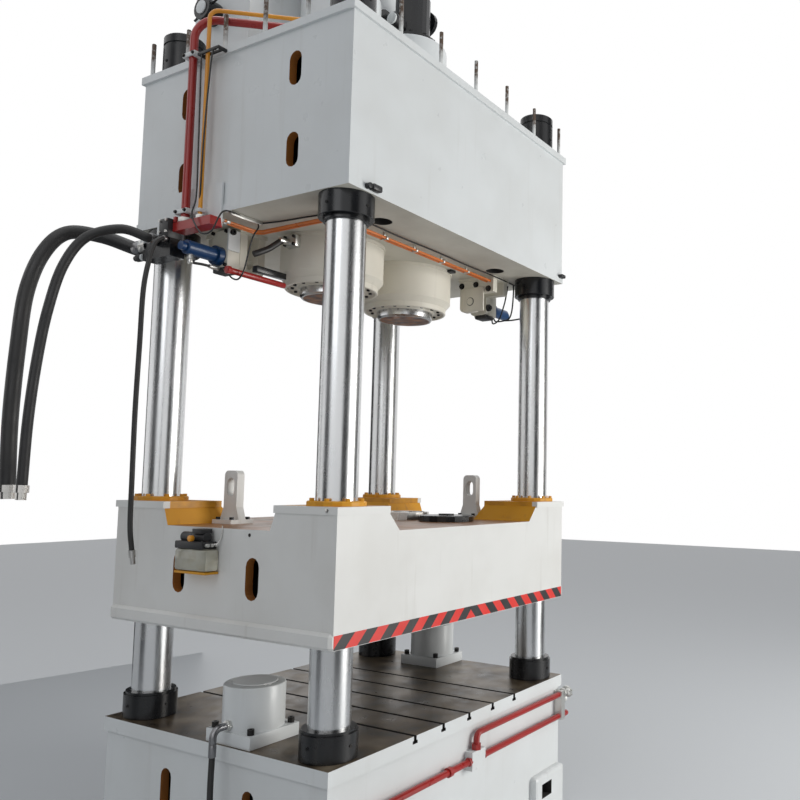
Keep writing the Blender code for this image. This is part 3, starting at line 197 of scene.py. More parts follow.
def polished(name, colour, roughness, smear=0.06, turned=True):
    """Bare metal with smears and painted reflection streaks along its axis, and the fine rings that a lathe
    or grinder leaves.
    """
    material, tree, shader = blank(name)
    shader.inputs["Metallic"].default_value = 1.0
    # Partly real smears, partly painted reflection: grey streaks stretched along the axis stand in for the
    # dark bands that the chrome reflects.
    smears_and_painted_reflection = step(tree, cloud(tree, 3.0, 5.0, (1, 1, 0.3)), 0.45, 0.75, 0, 0.35)
    wire(tree, blend(tree, smears_and_painted_reflection, (*colour, 1), (0.42, 0.40, 0.37, 1)), shader.inputs["Base Color"])
    dulled = step(tree, cloud(tree, 5.0, 6.0, (2, 2, 0.5)), 0.4, 0.75, roughness, roughness + smear)
    wire(tree, dulled, shader.inputs["Roughness"])
    if turned:
        grained(tree, shader, 60, 0.05, 2.0, (0.2, 0.2, 12))
    return material


print("Material tools ready")

# %% [markdown]
# ## The palette
#
# White enamel for the welded boxes, cream under the crown, amber primer inside the slide, red and orange
# pipes, black oxide nuts, hard chrome on the columns and rams. The numbers after the two colours are the
# roughness, then the shares of cloudiness, drips and grain.

# %% Materials
soot = (0.09, 0.075, 0.06)
primer = (0.70, 0.32, 0.010)
slide_enamel = (0.76, 0.76, 0.74)
finish = {
    "white": coated("white_enamel", (0.73, 0.755, 0.76), (0.50, 0.49, 0.46), 0.32, 0.22, 0.16, 0.05),
    "slide_white": coated("slide_enamel", slide_enamel, (0.48, 0.45, 0.40), 0.34, 0.25, 0.24, 0.05),
    "cream": coated("cream_enamel", (0.74, 0.71, 0.62), (0.42, 0.38, 0.31), 0.42, 0.30, 0.25, 0.06),
    # The underside finish is cream paint darkened with painted shade, for the crown's downward faces.
    "underside": coated("underside_enamel", (0.66, 0.64, 0.56), (0.30, 0.26, 0.21), 0.5, 0.45, 0.1, 0.06),
    "amber": coated("amber_primer", primer, (0.30, 0.11, 0.03), 0.5, 0.35, 0.4, 0.12),
    "deck": coated("oily_deck", (0.30, 0.12, 0.03), (0.10, 0.06, 0.035), 0.35, 0.85, 0.4, 0.12),
    "rim": coated("burnt_rim", (0.42, 0.16, 0.03), (0.10, 0.05, 0.03), 0.55, 0.6, 0.3, 0.2),
    # The hollow finish is painted shade: near-black put inside the crown, bed and slide and in holes, where
    # only shade falls.
    "hollow": coated("dark_hollow", (0.035, 0.032, 0.03), (0.015, 0.012, 0.01), 0.8, 0.5, 0.2, 0.1),
    "red": coated("red_enamel", (0.36, 0.012, 0.010), (0.14, 0.010, 0.008), 0.32, 0.3, 0.3, 0.05, coat=0.2),
    "orange": coated(
        "orange_pipe_enamel", (0.72, 0.19, 0.035), (0.28, 0.07, 0.02), 0.32, 0.35, 0.3, 0.06, coat=0.2),
    "pilot": coated(
        "amber_pipe_enamel", (0.80, 0.33, 0.01), (0.35, 0.09, 0.02), 0.32, 0.3, 0.3, 0.06, coat=0.2),
    "blue": coated(
        "blue_enamel", (0.003, 0.045, 0.150), (0.006, 0.02, 0.05), 0.34, 0.35, 0.3, 0.05, coat=0.15),
    "black": coated("black_oxide", (0.008, 0.009, 0.011), soot, 0.26, 0.10, 0.12, 0.06, 0.1),
    "bolt": coated("black_bolt", (0.012, 0.012, 0.013), soot, 0.38, 0.3, 0.2, 0.05, 0.5),
    "plastic": coated("black_plastic", (0.014, 0.014, 0.016), (0.05, 0.05, 0.05), 0.45, 0.2, 0.1, 0.04),
    "rubber": coated("hose_rubber", (0.012, 0.012, 0.013), (0.05, 0.047, 0.043), 0.48, 0.4, 0.2, 0.3),
    "gasket": coated("gasket_rubber", (0.02, 0.02, 0.021), (0.06, 0.05, 0.04), 0.6, 0.4, 0.1, 0.1),
    "tape_red": coated("tape_red", (0.78, 0.045, 0.035), (0.35, 0.05, 0.04), 0.35, 0.2, 0.2, 0.03),
    "tape_black": coated("tape_black", (0.028, 0.028, 0.030), (0.10, 0.09, 0.08), 0.4, 0.3, 0.2, 0.03),
    "chrome": polished("hard_chrome", (0.64, 0.65, 0.66), 0.23, 0.10),
    "steel": polished("bright_steel", (0.56, 0.55, 0.53), 0.24, 0.15),
    "dark_steel": polished("dark_steel", (0.22, 0.22, 0.23), 0.28, 0.12),
    "zinc": polished("zinc_plate", (0.66, 0.66, 0.64), 0.32, 0.12, turned=False),
    "rust": speckled(
        "rusty_face", (0.05, 0.022, 0.012), (0.20, 0.075, 0.025), (0.38, 0.17, 0.06), 14.0, 0.6, 0.2),
    "oily": speckled(
        "oily_steel", (0.045, 0.033, 0.022), (0.13, 0.095, 0.060), (0.26, 0.21, 0.15), 5.0, 0.45, 0.4),
}


def two_tone(name, below, above, start, end):
    """Paint that changes between two heights, broken up by noise, as on the half-rusted guard posts."""
    material, tree, shader = blank(name)
    edge = step(tree, along(tree, "Z"), start, end)
    ragged = step(tree, cloud(tree, 40), 0.35, 0.65, 0.5, 1.5)
    share = calculated(tree, "MULTIPLY", edge, ragged)
    wire(tree, blend(tree, share, (*below, 1), (*above, 1)), shader.inputs["Base Color"])
    shader.inputs["Roughness"].default_value = 0.5
    grained(tree, shader, 150, 0.2)
    return material


def clear_shell(name, tint, roughness):
    """Clear plastic that yellow oil shows through."""
    material, tree, shader = blank(name)
    oil = step(tree, cloud(tree, 12), 0.4, 0.7, 0, 0.5)
    wire(tree, blend(tree, oil, (*tint, 1), (0.45, 0.40, 0.28, 1)), shader.inputs["Base Color"])
    shader.inputs["Roughness"].default_value = roughness
    shader.inputs["Transmission Weight"].default_value = 0.55
    return material


def lipped(name, inner, outer, half_x, half_y):
    """Primer inside a rectangle round the press's axis, with the outer enamel on the lip beyond it."""
    material, tree, shader = blank(name)
    beyond = [
        step(tree, calculated(tree, "ABSOLUTE", along(tree, axis)), half - 0.002, half + 0.002)
        for axis, half in (("X", half_x), ("Y", half_y))
    ]
    lip = calculated(tree, "MAXIMUM", *beyond)
    stains = step(tree, cloud(tree, 6.0, 6.0), 0.45, 0.7, 0, 0.5)
    stained = blend(tree, stains, (*inner, 1), (0.20, 0.08, 0.03, 1))
    wire(tree, blend(tree, lip, stained, (*outer, 1)), shader.inputs["Base Color"])
    shader.inputs["Roughness"].default_value = 0.45
    grained(tree, shader, 150, 0.1)
    return material


tower_lip_x, tower_lip_y = 1.318, 0.978
post_rust_start, post_rust_full = 5.60, 5.72
post_paint, post_rust = (0.72, 0.73, 0.72), (0.09, 0.055, 0.035)
finish["tower"] = lipped("tower_plate_paint", primer, slide_enamel, tower_lip_x, tower_lip_y)
finish["post"] = two_tone("guard_post_paint", post_paint, post_rust, post_rust_start, post_rust_full)
finish["clear"] = clear_shell("clear_plastic", (0.70, 0.69, 0.60), 0.12)
print("Finishes:", len(finish))

# %% [markdown]
# ## The press's own levels and faces
#
# A fitter measures from the machine's faces, not from the floor of the hall. So the levels and faces that
# carry the fittings are read from the frame once, and everything below is placed from them.

# %% Levels and faces
seat_gap = 0.0003
bed_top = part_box("bolster_plate")[1][2]
bed_half_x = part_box("bed_frame")[1][0]
bed_half_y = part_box("bolster_plate")[1][1] - 0.018
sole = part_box("crown_frame")[0][2]
sole_plate = 0.050
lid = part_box("oil_tank")[0][2] - seat_gap
lid_plate = 0.053
lid_overhang = 0.020
crown_half_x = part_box("crown_frame")[1][0] - lid_overhang
crown_half_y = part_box("crown_frame")[1][1] - lid_overhang
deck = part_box("lock_lug_left")[0][2] - seat_gap
slide_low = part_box("slide_frame")[0][2]
slide_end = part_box("lube_pump")[1][0] + seat_gap
slide_half_x = -slide_end
slide_half_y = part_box("slide_frame")[1][1] - 0.012
print("Bed top, deck, sole, lid:", [round(level_z, 3) for level_z in (bed_top, deck, sole, lid)])

# %% [markdown]
# ## Dressing the CAD nodes
#
# Each node gets its base finish, then zones of faces get another: burnt rims in the openings, painted shade
# behind them, amber slopes inside the slide's towers, rust on the guard posts.

# %% Finishes of the CAD nodes
def dress(name, key):
    """Gives a CAD node its base finish."""
    mesh = nodes[name].data
    mesh.materials.clear()
    mesh.materials.append(finish[key])


def zone(piece, key, test):
    """Gives the faces of a node or piece that pass the test, by centre and normal, another finish."""
    mesh = nodes[piece].data if isinstance(piece, str) else piece.data
    mesh.materials.append(finish[key])
    index = len(mesh.materials) - 1
    for face in mesh.polygons:
        if test(face.center, face.normal):
            face.material_index = index


base_finish = {
    "bed_frame": "white", "bolster_plate": "white", "crown_frame": "white", "slide_frame": "slide_white",
    "oil_tank": "white", "valve_manifold": "black", "pressure_pipe": "red", "pilot_pipe": "pilot",
    "twin_pipes": "orange", "bed_pipes_right": "red", "bed_pipe_left": "red", "ram_flange": "black",
    "lube_pump": "plastic", "lube_reservoir": "clear",
}
finish_by_start = (
    ("column", "chrome"), ("bed_nut", "black"), ("crown_nut", "black"), ("cylinder_nut", "black"),
    ("cylinder", "cream"), ("gland", "cream"), ("prefill", "black"), ("lock_bracket", "cream"),
    ("lock_cylinder", "blue"), ("lock_pin", "steel"), ("lock_lug", "slide_white"), ("guide_cap", "amber"),
    ("levelling_cylinder", "white"), ("levelling_ram", "steel"), ("ram_left", "chrome"),
    ("ram_right", "chrome"), ("return_hose", "rubber"), ("feed_hose", "rubber"), ("drain_hose", "rubber"),
    ("levelling_hose", "rubber"),
)
for name in nodes:
    key = base_finish.get(name)
    if key is None:
        key = next(value for start, value in finish_by_start if name.startswith(start))
    if name.endswith("_hose_end"):
        key = "steel"
    dress(name, key)

margin = 0.005
wall = 0.060


def inside(half_x, half_y, low, high):
    """A test for faces inside a box round the press's axis."""
    return lambda c, n: abs(c.x) < half_x and abs(c.y) < half_y and low < c.z < high


def wall_within(half_x, half_y, low, high):
    """The same test, for upright faces only."""
    box = inside(half_x, half_y, low, high)
    return lambda c, n: abs(n.z) < 0.5 and box(c, n)


def rim_within(half_x, half_y, low, high):
    """The same test, for faces that don't look along X, as in an opening of an end wall."""
    box = inside(half_x, half_y, low, high)
    return lambda c, n: abs(n.x) < 0.9 and box(c, n)


# %% [markdown]
# ### The crown
#
# Its end walls have round-ended slots with burnt rims, and access holes go up through its sole. The inside
# is painted near-black as painted shade. The sole is painted in the cream of the pieces under it, darkened
# as painted shade on its downward faces.

# %% Zones of the crown
floor_level = sole + sole_plate + 2 * margin
ceiling_level = lid - lid_plate + margin


def end_wall(c, n):
    """The outer faces of the crown's two ends."""
    return abs(c.x) > crown_half_x - margin and abs(n.x) > 0.9 and sole + sole_plate < c.z < lid - margin


zone("crown_frame", "rim",
     inside(crown_half_x + margin, crown_half_y - 2 * margin, sole + 0.070, lid - 0.070))
# Painted shade: the crown's inside is painted near-black.
zone("crown_frame", "hollow",
     inside(crown_half_x - wall - margin, crown_half_y - wall + margin, floor_level, ceiling_level))
# Downward faces of the sole: cream paint with painted shade.
zone("crown_frame", "underside", lambda c, n: n.z < -0.5 and c.z < floor_level)
zone("crown_frame", "white", end_wall)
zone("crown_frame", "post", lambda c, n: c.z > lid + seat_gap)
# Painted shade on the walls of the access holes through the sole.
zone("crown_frame", "hollow",
     wall_within(crown_half_x - 0.040, crown_half_y - 0.050, sole - margin, floor_level + margin))
print("Crown dressed")

# %% [markdown]
# ### The bed
#
# Its ends have slots like the crown's, and its feet have square windows for the lifting bars. The bolster
# plate's top is bare steel under a film of oil.

# %% Zones of the bed
slot_low, slot_high = 0.35, 0.90
window_x = bed_half_x - 0.291
window_half = 0.079
window_low, window_high = 0.15, 0.29
window_back = bed_half_y - 0.040


def foot_window(c, n):
    """The walls of the square windows in the bed's feet."""
    across = abs(abs(c.x) - window_x) < window_half
    return abs(n.y) < 0.9 and across and abs(c.y) > window_back - 0.002 and window_low < c.z < window_high


def foot_window_back(c, n):
    """The rear face of each foot window."""
    return abs(abs(c.y) - window_back) < 0.0075 and window_low < c.z < window_high


zone("bed_frame", "rim", rim_within(bed_half_x - 0.002, bed_half_y - 0.012, slot_low, slot_high))
# Painted shade: the bed's inside, the foot windows and their backs are painted near-black.
zone("bed_frame", "hollow", inside(bed_half_x - wall - 0.007, bed_half_y - wall - 0.002, 0.07, slot_high))
zone("bed_frame", "hollow", foot_window)
zone("bed_frame", "hollow", foot_window_back)
zone("bolster_plate", "oily", lambda c, n: n.z > 0.5)
# Painted shade on the bolster plate's faces below its top, in its slots.
zone("bolster_plate", "hollow", inside(bed_half_x, bed_half_y, 0, bed_top - margin))
print("Bed dressed")

# %% [markdown]
# ### The slide
#
# It is white outside and primed in amber inside its towers. Oil has darkened the deck, and the ram seats and
# the underside are machined.

# %% Zones of the slide
tower_slope_top = 2.4545
seat_half_x, seat_half_y = 0.70, 0.26
slot_low, slot_high = 1.80, 2.30
zone("slide_frame", "rim", rim_within(slide_half_x - 0.003, slide_half_y - 0.065, slot_low, slot_high))
# Painted shade: the slide's inside behind its slots is painted near-black.
zone("slide_frame", "hollow", inside(slide_half_x - 0.065, slide_half_y - 0.065, 1.72, slot_high))
zone("slide_frame", "amber",
     inside(slide_half_x - margin, slide_half_y - margin, deck - 0.002, tower_slope_top))
zone("slide_frame", "deck", lambda c, n: n.z > 0.5 and deck - 0.017 < c.z < deck + 0.003)
zone("slide_frame", "steel", inside(seat_half_x, seat_half_y, deck + 0.001, tower_slope_top))
zone("slide_frame", "oily", lambda c, n: n.z < -0.5 and c.z < slide_low + 0.002)
zone("slide_frame", "tower", lambda c, n: c.z > tower_slope_top)
print("Slide dressed")

# %% [markdown]
# ### Tank, valve block and pipes
#
# The valve block is black with a red strip along its top and a white hanger. Some fittings were made in one
# piece with their pipe or tank, so they get their own finish by their place.

# %% Zones of the tank, the valve block and the pipes
drain_cock_face = -1.025
block_top, strip_level, hanger_level = 4.2505, 4.2925, 4.3555
strip_end, port_start = 0.4605, 0.7505
zone("oil_tank", "black", lambda c, n: c.x < drain_cock_face and c.z < 6.8)
zone("valve_manifold", "steel", lambda c, n: c.y > port_start)
zone("valve_manifold", "red", lambda c, n: c.z > strip_level and c.y < strip_end)
zone("valve_manifold", "white", lambda c, n: c.z > hanger_level or (c.z > block_top and c.y > strip_end))
for name in ("levelling_ram_left", "levelling_ram_right"):
    zone(name, "white", lambda c, n: n.z > 0.5)
zone("bed_pipe_left", "white", lambda c, n: c.x > -0.0205)
zone("bed_pipe_left", "zinc", lambda c, n: c.x < -1.269)
zone("bed_pipes_right", "zinc", lambda c, n: c.x > 1.2695)
print("Dressed every node")

# %% [markdown]
# ## Tools for modelling
#
# A piece starts as a primitive at its true size. Edit mode or a modifier then gives it its form. When it is
# done its place is baked into the mesh, it gets its material, and it hangs on the body that carries it.

# %% Modelling tools
turns = {
    "Z": (0, 0, 0),
    "-Z": (math.pi, 0, 0),
    "X": (0, math.pi / 2, 0),
    "-X": (0, -math.pi / 2, 0),
    "Y": (-math.pi / 2, 0, 0),
    "-Y": (math.pi / 2, 0, 0),
}


def only(obj):
    """Makes one object the only selected and the active one."""
    bpy.ops.object.select_all(action="DESELECT")
    obj.select_set(True)
    bpy.context.view_layer.objects.active = obj
    return obj


def settle(obj, name, body, key, angle=30):
    """Names a finished piece, bakes its place into the mesh, paints it and hangs it on its body."""
    only(obj)
    bpy.ops.object.transform_apply(location=True, rotation=True, scale=True)
    if obj.type == "MESH":
        bpy.ops.object.shade_smooth_by_angle(angle=math.radians(angle))
    obj.name = name
    obj.data.name = name
    obj.data.materials.clear()
    obj.data.materials.append(finish[key])
    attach(obj, body)
    return obj


def softened(obj, width, segments=2):
    """Rounds the sharp edges with a bevel modifier."""
    bevel = obj.modifiers.new("bevel", "BEVEL")
    bevel.width = width
    bevel.segments = segments
    bevel.limit_method = "ANGLE"
    bevel.angle_limit = math.radians(40)
    bpy.ops.object.modifier_apply(modifier=bevel.name)
    return obj


def turned_to(obj, place, axis):
    """Turns a piece that was modelled upright at the origin along an axis and moves it to its place."""
    only(obj)
    obj.rotation_euler = turns[axis]
    obj.location = place
    bpy.ops.object.transform_apply(location=True, rotation=True)
    return obj


def drum(place, radius, length, axis="Z", sides=24, edge=0.002):
    """A round piece that starts at its base's centre and runs along an axis."""
    middle = (0, 0, length / 2)
    bpy.ops.mesh.primitive_cylinder_add(vertices=sides, radius=radius, depth=length, location=middle)
    obj = only(bpy.context.object)
    bpy.ops.object.transform_apply(location=True)
    return turned_to(softened(obj, edge), place, axis)


def block(low, high, edge=0.003):
    """A box between two corners with soft edges."""
    size = [b - a for a, b in zip(low, high)]
    centre = [(a + b) / 2 for a, b in zip(low, high)]
    bpy.ops.mesh.primitive_cube_add(size=1, location=centre)
    obj = only(bpy.context.object)
    obj.scale = size
    bpy.ops.object.transform_apply(location=True, scale=True)
    return softened(obj, edge)


def pick(obj, test):
    """Enters edit mode with the faces selected that pass the test, by centre and normal."""
    only(obj)
    for part in (obj.data.vertices, obj.data.edges):
        part.foreach_set("select", [False] * len(part))
    for face in obj.data.polygons:
        face.select = test(face.center, face.normal)
    bpy.ops.object.mode_set(mode="EDIT")
    bpy.ops.mesh.select_mode(type="FACE")


def done():
    """Leaves edit mode."""
    bpy.ops.object.mode_set(mode="OBJECT")


def socket_bolt(radius, height):
    """A cap screw's head at the origin, with its socket pressed in."""
    middle = (0, 0, height / 2)
    bpy.ops.mesh.primitive_cylinder_add(vertices=12, radius=radius, depth=height, location=middle)
    obj = only(bpy.context.object)
    bpy.ops.object.transform_apply(location=True)
    pick(obj, lambda c, n: n.z > 0.9)
    bpy.ops.mesh.inset(thickness=radius * 0.12, depth=0)
    bpy.ops.mesh.inset(thickness=radius * 0.36, depth=0)
    bpy.ops.mesh.extrude_region_move(TRANSFORM_OT_translate={"value": (0, 0, -height * 0.55)})
    done()
    return obj


def hex_bolt(radius, height):
    """A hexagon head at the origin on a thin washer."""
    thin, thick = height * 0.2, height * 0.8
    bpy.ops.mesh.primitive_cylinder_add(
        vertices=16, radius=radius * 1.25, depth=thin, location=(0, 0, thin / 2))
    washer = bpy.context.object
    bpy.ops.mesh.primitive_cylinder_add(
        vertices=6, radius=radius, depth=thick, location=(0, 0, thin + thick / 2))
    head = only(bpy.context.object)
    pick(head, lambda c, n: n.z > 0.9)
    bpy.ops.mesh.inset(thickness=radius * 0.14, depth=height * 0.1)
    done()
    return joined([washer, head])


def joined(objs):
    """Joins several objects into the first."""
    only(objs[0])
    for obj in objs:
        obj.select_set(True)
    if len(objs) > 1:
        bpy.ops.object.join()
    bpy.ops.object.transform_apply(location=True, rotation=True, scale=True)
    return bpy.context.object


def spread(master, places, axis="Z"):
    """Copies a master to the places, each copy with its own mesh, and joins them."""
    copies = []
    for place in places:
        twin = master.copy()
        twin.data = master.data.copy()
        twin.location = place
        twin.rotation_euler = turns[axis]
        bpy.context.scene.collection.objects.link(twin)
        copies.append(twin)
    bpy.data.objects.remove(master)
    return joined(copies)


def circle(centre, radius, count, axis="Z", start=0.0):
    """Places at equal steps round a circle that looks along an axis."""
    places = []
    for i in range(count):
        angle = start + math.tau * i / count
        a, b = radius * math.cos(angle), radius * math.sin(angle)
        offset = {"Z": (a, b, 0), "X": (0, a, b), "Y": (a, 0, b)}[axis.strip("-")]
        places.append(Vector(centre) + Vector(offset))
    return places


def lathe(outline, place, axis="Z", steps=96):
    """Turns an outline of radii and heights round the upright axis, as a lathe does."""
    bpy.ops.mesh.primitive_plane_add(size=0.01, location=(0, 0, 0))
    obj = only(bpy.context.object)
    bpy.ops.object.mode_set(mode="EDIT")
    bpy.ops.mesh.select_mode(type="VERT")
    bpy.ops.mesh.select_all(action="SELECT")
    bpy.ops.mesh.merge(type="CENTER")
    radius, height = outline[0]
    bpy.ops.transform.translate(value=(radius, 0, height))
    for before, after in zip(outline, outline[1:]):
        move = (after[0] - before[0], 0, after[1] - before[1])
        bpy.ops.mesh.extrude_region_move(TRANSFORM_OT_translate={"value": move})
    bpy.ops.mesh.select_all(action="SELECT")
    bpy.ops.mesh.spin(steps=steps, angle=math.tau, center=(0, 0, 0), axis=(0, 0, 1))
    bpy.ops.mesh.select_all(action="SELECT")
    bpy.ops.mesh.remove_doubles(threshold=0.00001)
    bpy.ops.mesh.normals_make_consistent(inside=False)
    done()
    return turned_to(obj, place, axis)


def bored(obj, cutter):
    """Cuts a hole with a boolean modifier."""
    only(obj)
    cut = obj.modifiers.new("bore", "BOOLEAN")
    cut.object = cutter
    bpy.ops.object.modifier_apply(modifier=cut.name)
    bpy.data.objects.remove(cutter)
    return obj


def bent(points, radius, steps=12):
    """Samples a pipe's route: straight runs with a round bend at each inner point."""
    places = [Vector(p) for p in points]
    route = [places[0]]
    for before, here, after in zip(places, places[1:], places[2:]):
        arriving = (here - before).normalized()
        leaving = (after - here).normalized()
        angle = arriving.angle(leaving)
        across = (leaving - arriving * arriving.dot(leaving)).normalized()
        start = here - arriving * radius * math.tan(angle / 2)
        for k in range(steps + 1):
            turn = angle * k / steps
            route.append(start + across * radius * (1 - math.cos(turn)) + arriving * radius * math.sin(turn))
    return route + [places[-1]]


def smooth_route(points, count):
    """Samples a Catmull-Rom curve after a straight first run, as the CAD does."""
    places = [Vector(p) for p in points]
    padded = places + [2 * places[-1] - places[-2]]
    spans = len(padded) - 3
    route = [places[0]]
    for k in range(count):
        t = spans * k / (count - 1)
        i = min(int(t), spans - 1)
        t -= i
        p0, p1, p2, p3 = padded[i : i + 4]
        square = 2 * p0 - 5 * p1 + 4 * p2 - p3
        cube = 3 * p1 - p0 - 3 * p2 + p3
        route.append(0.5 * (2 * p1 + (p2 - p0) * t + square * t**2 + cube * t**3))
    return route


def line(points, diameter, resolution=4):
    """A round curve along points, with closed ends."""
    curve = bpy.data.curves.new("line", "CURVE")
    curve.dimensions = "3D"
    curve.bevel_depth = diameter / 2
    curve.bevel_resolution = resolution
    curve.use_fill_caps = True
    spline = curve.splines.new("POLY")
    spline.points.add(len(points) - 1)
    for point, place in zip(spline.points, points):
        point.co = (*place, 1)
    obj = bpy.data.objects.new("line", curve)
    bpy.context.scene.collection.objects.link(obj)
    return obj


def run_length(points):
    """The length of a line through points."""
    return sum((b - a).length for a, b in zip(points, points[1:]))


print("Modelling tools ready")

# %% [markdown]
# ## The big hoses
#
# Three hoses hang from the valve manifold at the crown's left end, waiting to be joined to the pump unit. A
# fourth feeds the levelling cylinder on the bed. High-pressure hose is stiff: it leaves its port straight,
# then bends in one wide sweep. The routes are the CAD's, drawn with more points.

# %% Hoses
hose_steps = 60
hose_routes = {
    "return_hose": (0.094, "stiff", "hanging", (
        (-1.415, 0.8003, 4.24), (-1.415, 0.88, 4.24), (-1.55, 1.08, 4.32), (-1.73, 1.18, 4.31),
        (-1.85, 1.23, 4.15), (-1.93, 1.25, 3.87), (-1.96, 1.25, 3.49), (-1.975, 1.25, 3.03),
        (-1.9650, 1.2500, 2.600))),
    "feed_hose": (0.062, "stiff", "hanging", (
        (-1.4653, 0.6, 4.25), (-1.53, 0.6, 4.25), (-1.66, 0.69, 4.285), (-1.82, 0.8, 4.2),
        (-1.92, 0.86, 4.0), (-1.98, 0.89, 3.71), (-2.02, 0.9, 3.39), (-2.05, 0.9, 3.01),
        (-2.0600, 0.9000, 2.600))),
    "drain_hose": (0.032, "medium", "hanging", (
        (-1.4653, 0.49, 4.24), (-1.495, 0.49, 4.24), (-1.55, 0.49, 4.19), (-1.58, 0.49, 4.08),
        (-1.61, 0.49, 3.87), (-1.615, 0.49, 3.51), (-1.62, 0.49, 3.08), (-1.615, 0.49, 2.63),
        (-1.6100, 0.4900, 2.350), (-1.5900, 0.4900, 2.200))),
    "levelling_hose": (0.036, "medium", "loose", (
        (-1.4583, -0.185, 1.0897), (-1.4583, -0.185, 1.0), (-1.464, -0.19, 0.8), (-1.468, -0.21, 0.55),
        (-1.485, -0.27, 0.29), (-1.55, -0.37, 0.105), (-1.66, -0.43, 0.032), (-1.82, -0.4, 0.02),
        (-1.9500, -0.2800, 0.021), (-1.9900, -0.1000, 0.026))),
}
for name, (diameter, stiffness, lay, points) in hose_routes.items():
    route = smooth_route(points, hose_steps)
    hose = settle(line(route, diameter, 5), name + "_skin", "frame", "rubber")
    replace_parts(hose, name)
    print(name, round(run_length(route), 2), "m")

# %% [markdown]
# ## Columns and nuts
#
# The CAD's columns and nuts are drawn with flats. Here they are turned as smoothly as on the real lathe, at
# the CAD's sizes. Each outline lists a radius and a height from the axis outwards and back, and the lathe
# helper spins it. A long black nut clamps each column on the crown's lid.

# %% Columns and nuts
column_radius = 0.125
column_edge = 0.012
nut_bore = column_radius + seat_gap
nut_edge = 0.003
column_places = {
    "front_left": (-1.165, -0.825), "front_right": (1.165, -0.825),
    "rear_left": (-1.165, 0.825), "rear_right": (1.165, 0.825),
}
column_foot, column_top = (corner[2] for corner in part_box("column_front_left"))
column_outline = (
    (0, column_foot), (column_radius, column_foot), (column_radius, column_top - column_edge),
    (column_radius - column_edge, column_top), (0, column_top))

nut_low, nut_high = (corner[2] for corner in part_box("bed_nut_front_left"))
bed_nut_radius = 0.170
lip_radius, lip_low = bed_nut_radius - 0.012, nut_high - 0.018
bed_nut_outline = (
    (nut_bore, nut_low), (bed_nut_radius - nut_edge, nut_low), (bed_nut_radius, nut_low + nut_edge),
    (bed_nut_radius, lip_low), (lip_radius, lip_low), (lip_radius, nut_high), (nut_bore, nut_high),
    (nut_bore, nut_low))

nut_low, nut_high = (corner[2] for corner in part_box("crown_nut_front_left"))
crown_nut_radius = 0.1715
collar_radius, collar_top = crown_nut_radius - 0.030, nut_low + 0.026
crown_nut_outline = (
    (nut_bore, nut_low), (collar_radius - nut_edge, nut_low), (collar_radius, nut_low + nut_edge),
    (collar_radius, collar_top), (crown_nut_radius - nut_edge, collar_top),
    (crown_nut_radius, collar_top + nut_edge), (crown_nut_radius, nut_high), (nut_bore, nut_high),
    (nut_bore, nut_low))

top_nut_low, top_nut_high = lid + seat_gap, 5.852
top_nut_radius = 0.143
top_nut_edge = 0.006
groove_radius, groove_slope = 0.136, 0.004
groove_low, groove_high = 5.774, 5.792
top_nut_outline = (
    (nut_bore, top_nut_low), (top_nut_radius, top_nut_low), (top_nut_radius, groove_low),
    (groove_radius, groove_low + groove_slope), (groove_radius, groove_high - groove_slope),
    (top_nut_radius, groove_high), (top_nut_radius, top_nut_high - top_nut_edge),
    (top_nut_radius - top_nut_edge, top_nut_high), (nut_bore, top_nut_high), (nut_bore, top_nut_low))

for corner, (x, y) in column_places.items():
    for name, outline, slot, key in (
        ("column_", column_outline, "polished_chrome", "chrome"),
        ("bed_nut_", bed_nut_outline, "black_oxide", "black"),
        ("crown_nut_", crown_nut_outline, "black_oxide", "black"),
    ):
        piece = settle(lathe(outline, (x, y, 0)), name + corner + "_skin", "frame", key)
        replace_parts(piece, name + corner)
    settle(lathe(top_nut_outline, (x, y, 0)), "top_nut_" + corner, "frame", "black")
print("Columns:", len(column_places))

# %% [markdown]
# ## Levelling cylinders
#
# Two short cylinders on the bed hold the slide level at the end of its stroke. A square base is bored to
# half its height, and a barrel with a rounded shoulder stands on it. The ram still slides in the bore.

# %% Levelling cylinders
levelling_places = {"left": (-1.158, -0.185), "right": (1.158, 0.185)}
levelling_low, levelling_high = (corner[2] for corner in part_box("levelling_cylinder_left"))
levelling_bore = 0.1408
base_half, base_height, base_edge = 0.195, 0.080, 0.004
bore_floor = levelling_low + base_height / 2 - seat_gap
barrel_radius, barrel_round, barrel_low = 0.1875, 0.015, 1.1250
barrel_outline = [(levelling_bore, barrel_low), (barrel_radius, barrel_low)]
for angle in (0, math.pi / 4, math.pi / 2):
    inward, down = barrel_round * (1 - math.cos(angle)), barrel_round * (1 - math.sin(angle))
    barrel_outline.append((barrel_radius - inward, levelling_high - down))
barrel_outline += [(levelling_bore, levelling_high), (levelling_bore, barrel_low)]
for side, (x, y) in levelling_places.items():
    low = (x - base_half, y - base_half, levelling_low)
    high = (x + base_half, y + base_half, levelling_low + base_height)
    cutter = drum((x, y, bore_floor), levelling_bore, base_height, "Z", 96, 0.0001)
    piece = joined([bored(block(low, high, base_edge), cutter), lathe(barrel_outline, (x, y, 0))])
    settle(piece, "levelling_body_" + side, "frame", "white")
    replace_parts(piece, "levelling_cylinder_" + side)

elbow_diameter, elbow_bend = 0.044, 0.050
elbow_start_x, elbow_level = -1.340, levelling_low + 0.120
elbow_end = Vector(hose_routes["levelling_hose"][3][0]) + Vector((0, 0, 2 * seat_gap))
elbow_corner = (elbow_end.x, elbow_end.y, elbow_level)
elbow_route = bent(((elbow_start_x, elbow_end.y, elbow_level), elbow_corner, elbow_end), elbow_bend)
settle(line(elbow_route, elbow_diameter), "levelling_elbow", "frame", "dark_steel")
print("Levelling cylinders:", len(levelling_places))

# %% [markdown]
# ## Main cylinders and rams
#
# Each cylinder hangs in the crown by a collar under the sole. Its hollow ram is chromed outside, bright at
# the rim and rusty on the end face, which is bare steel.

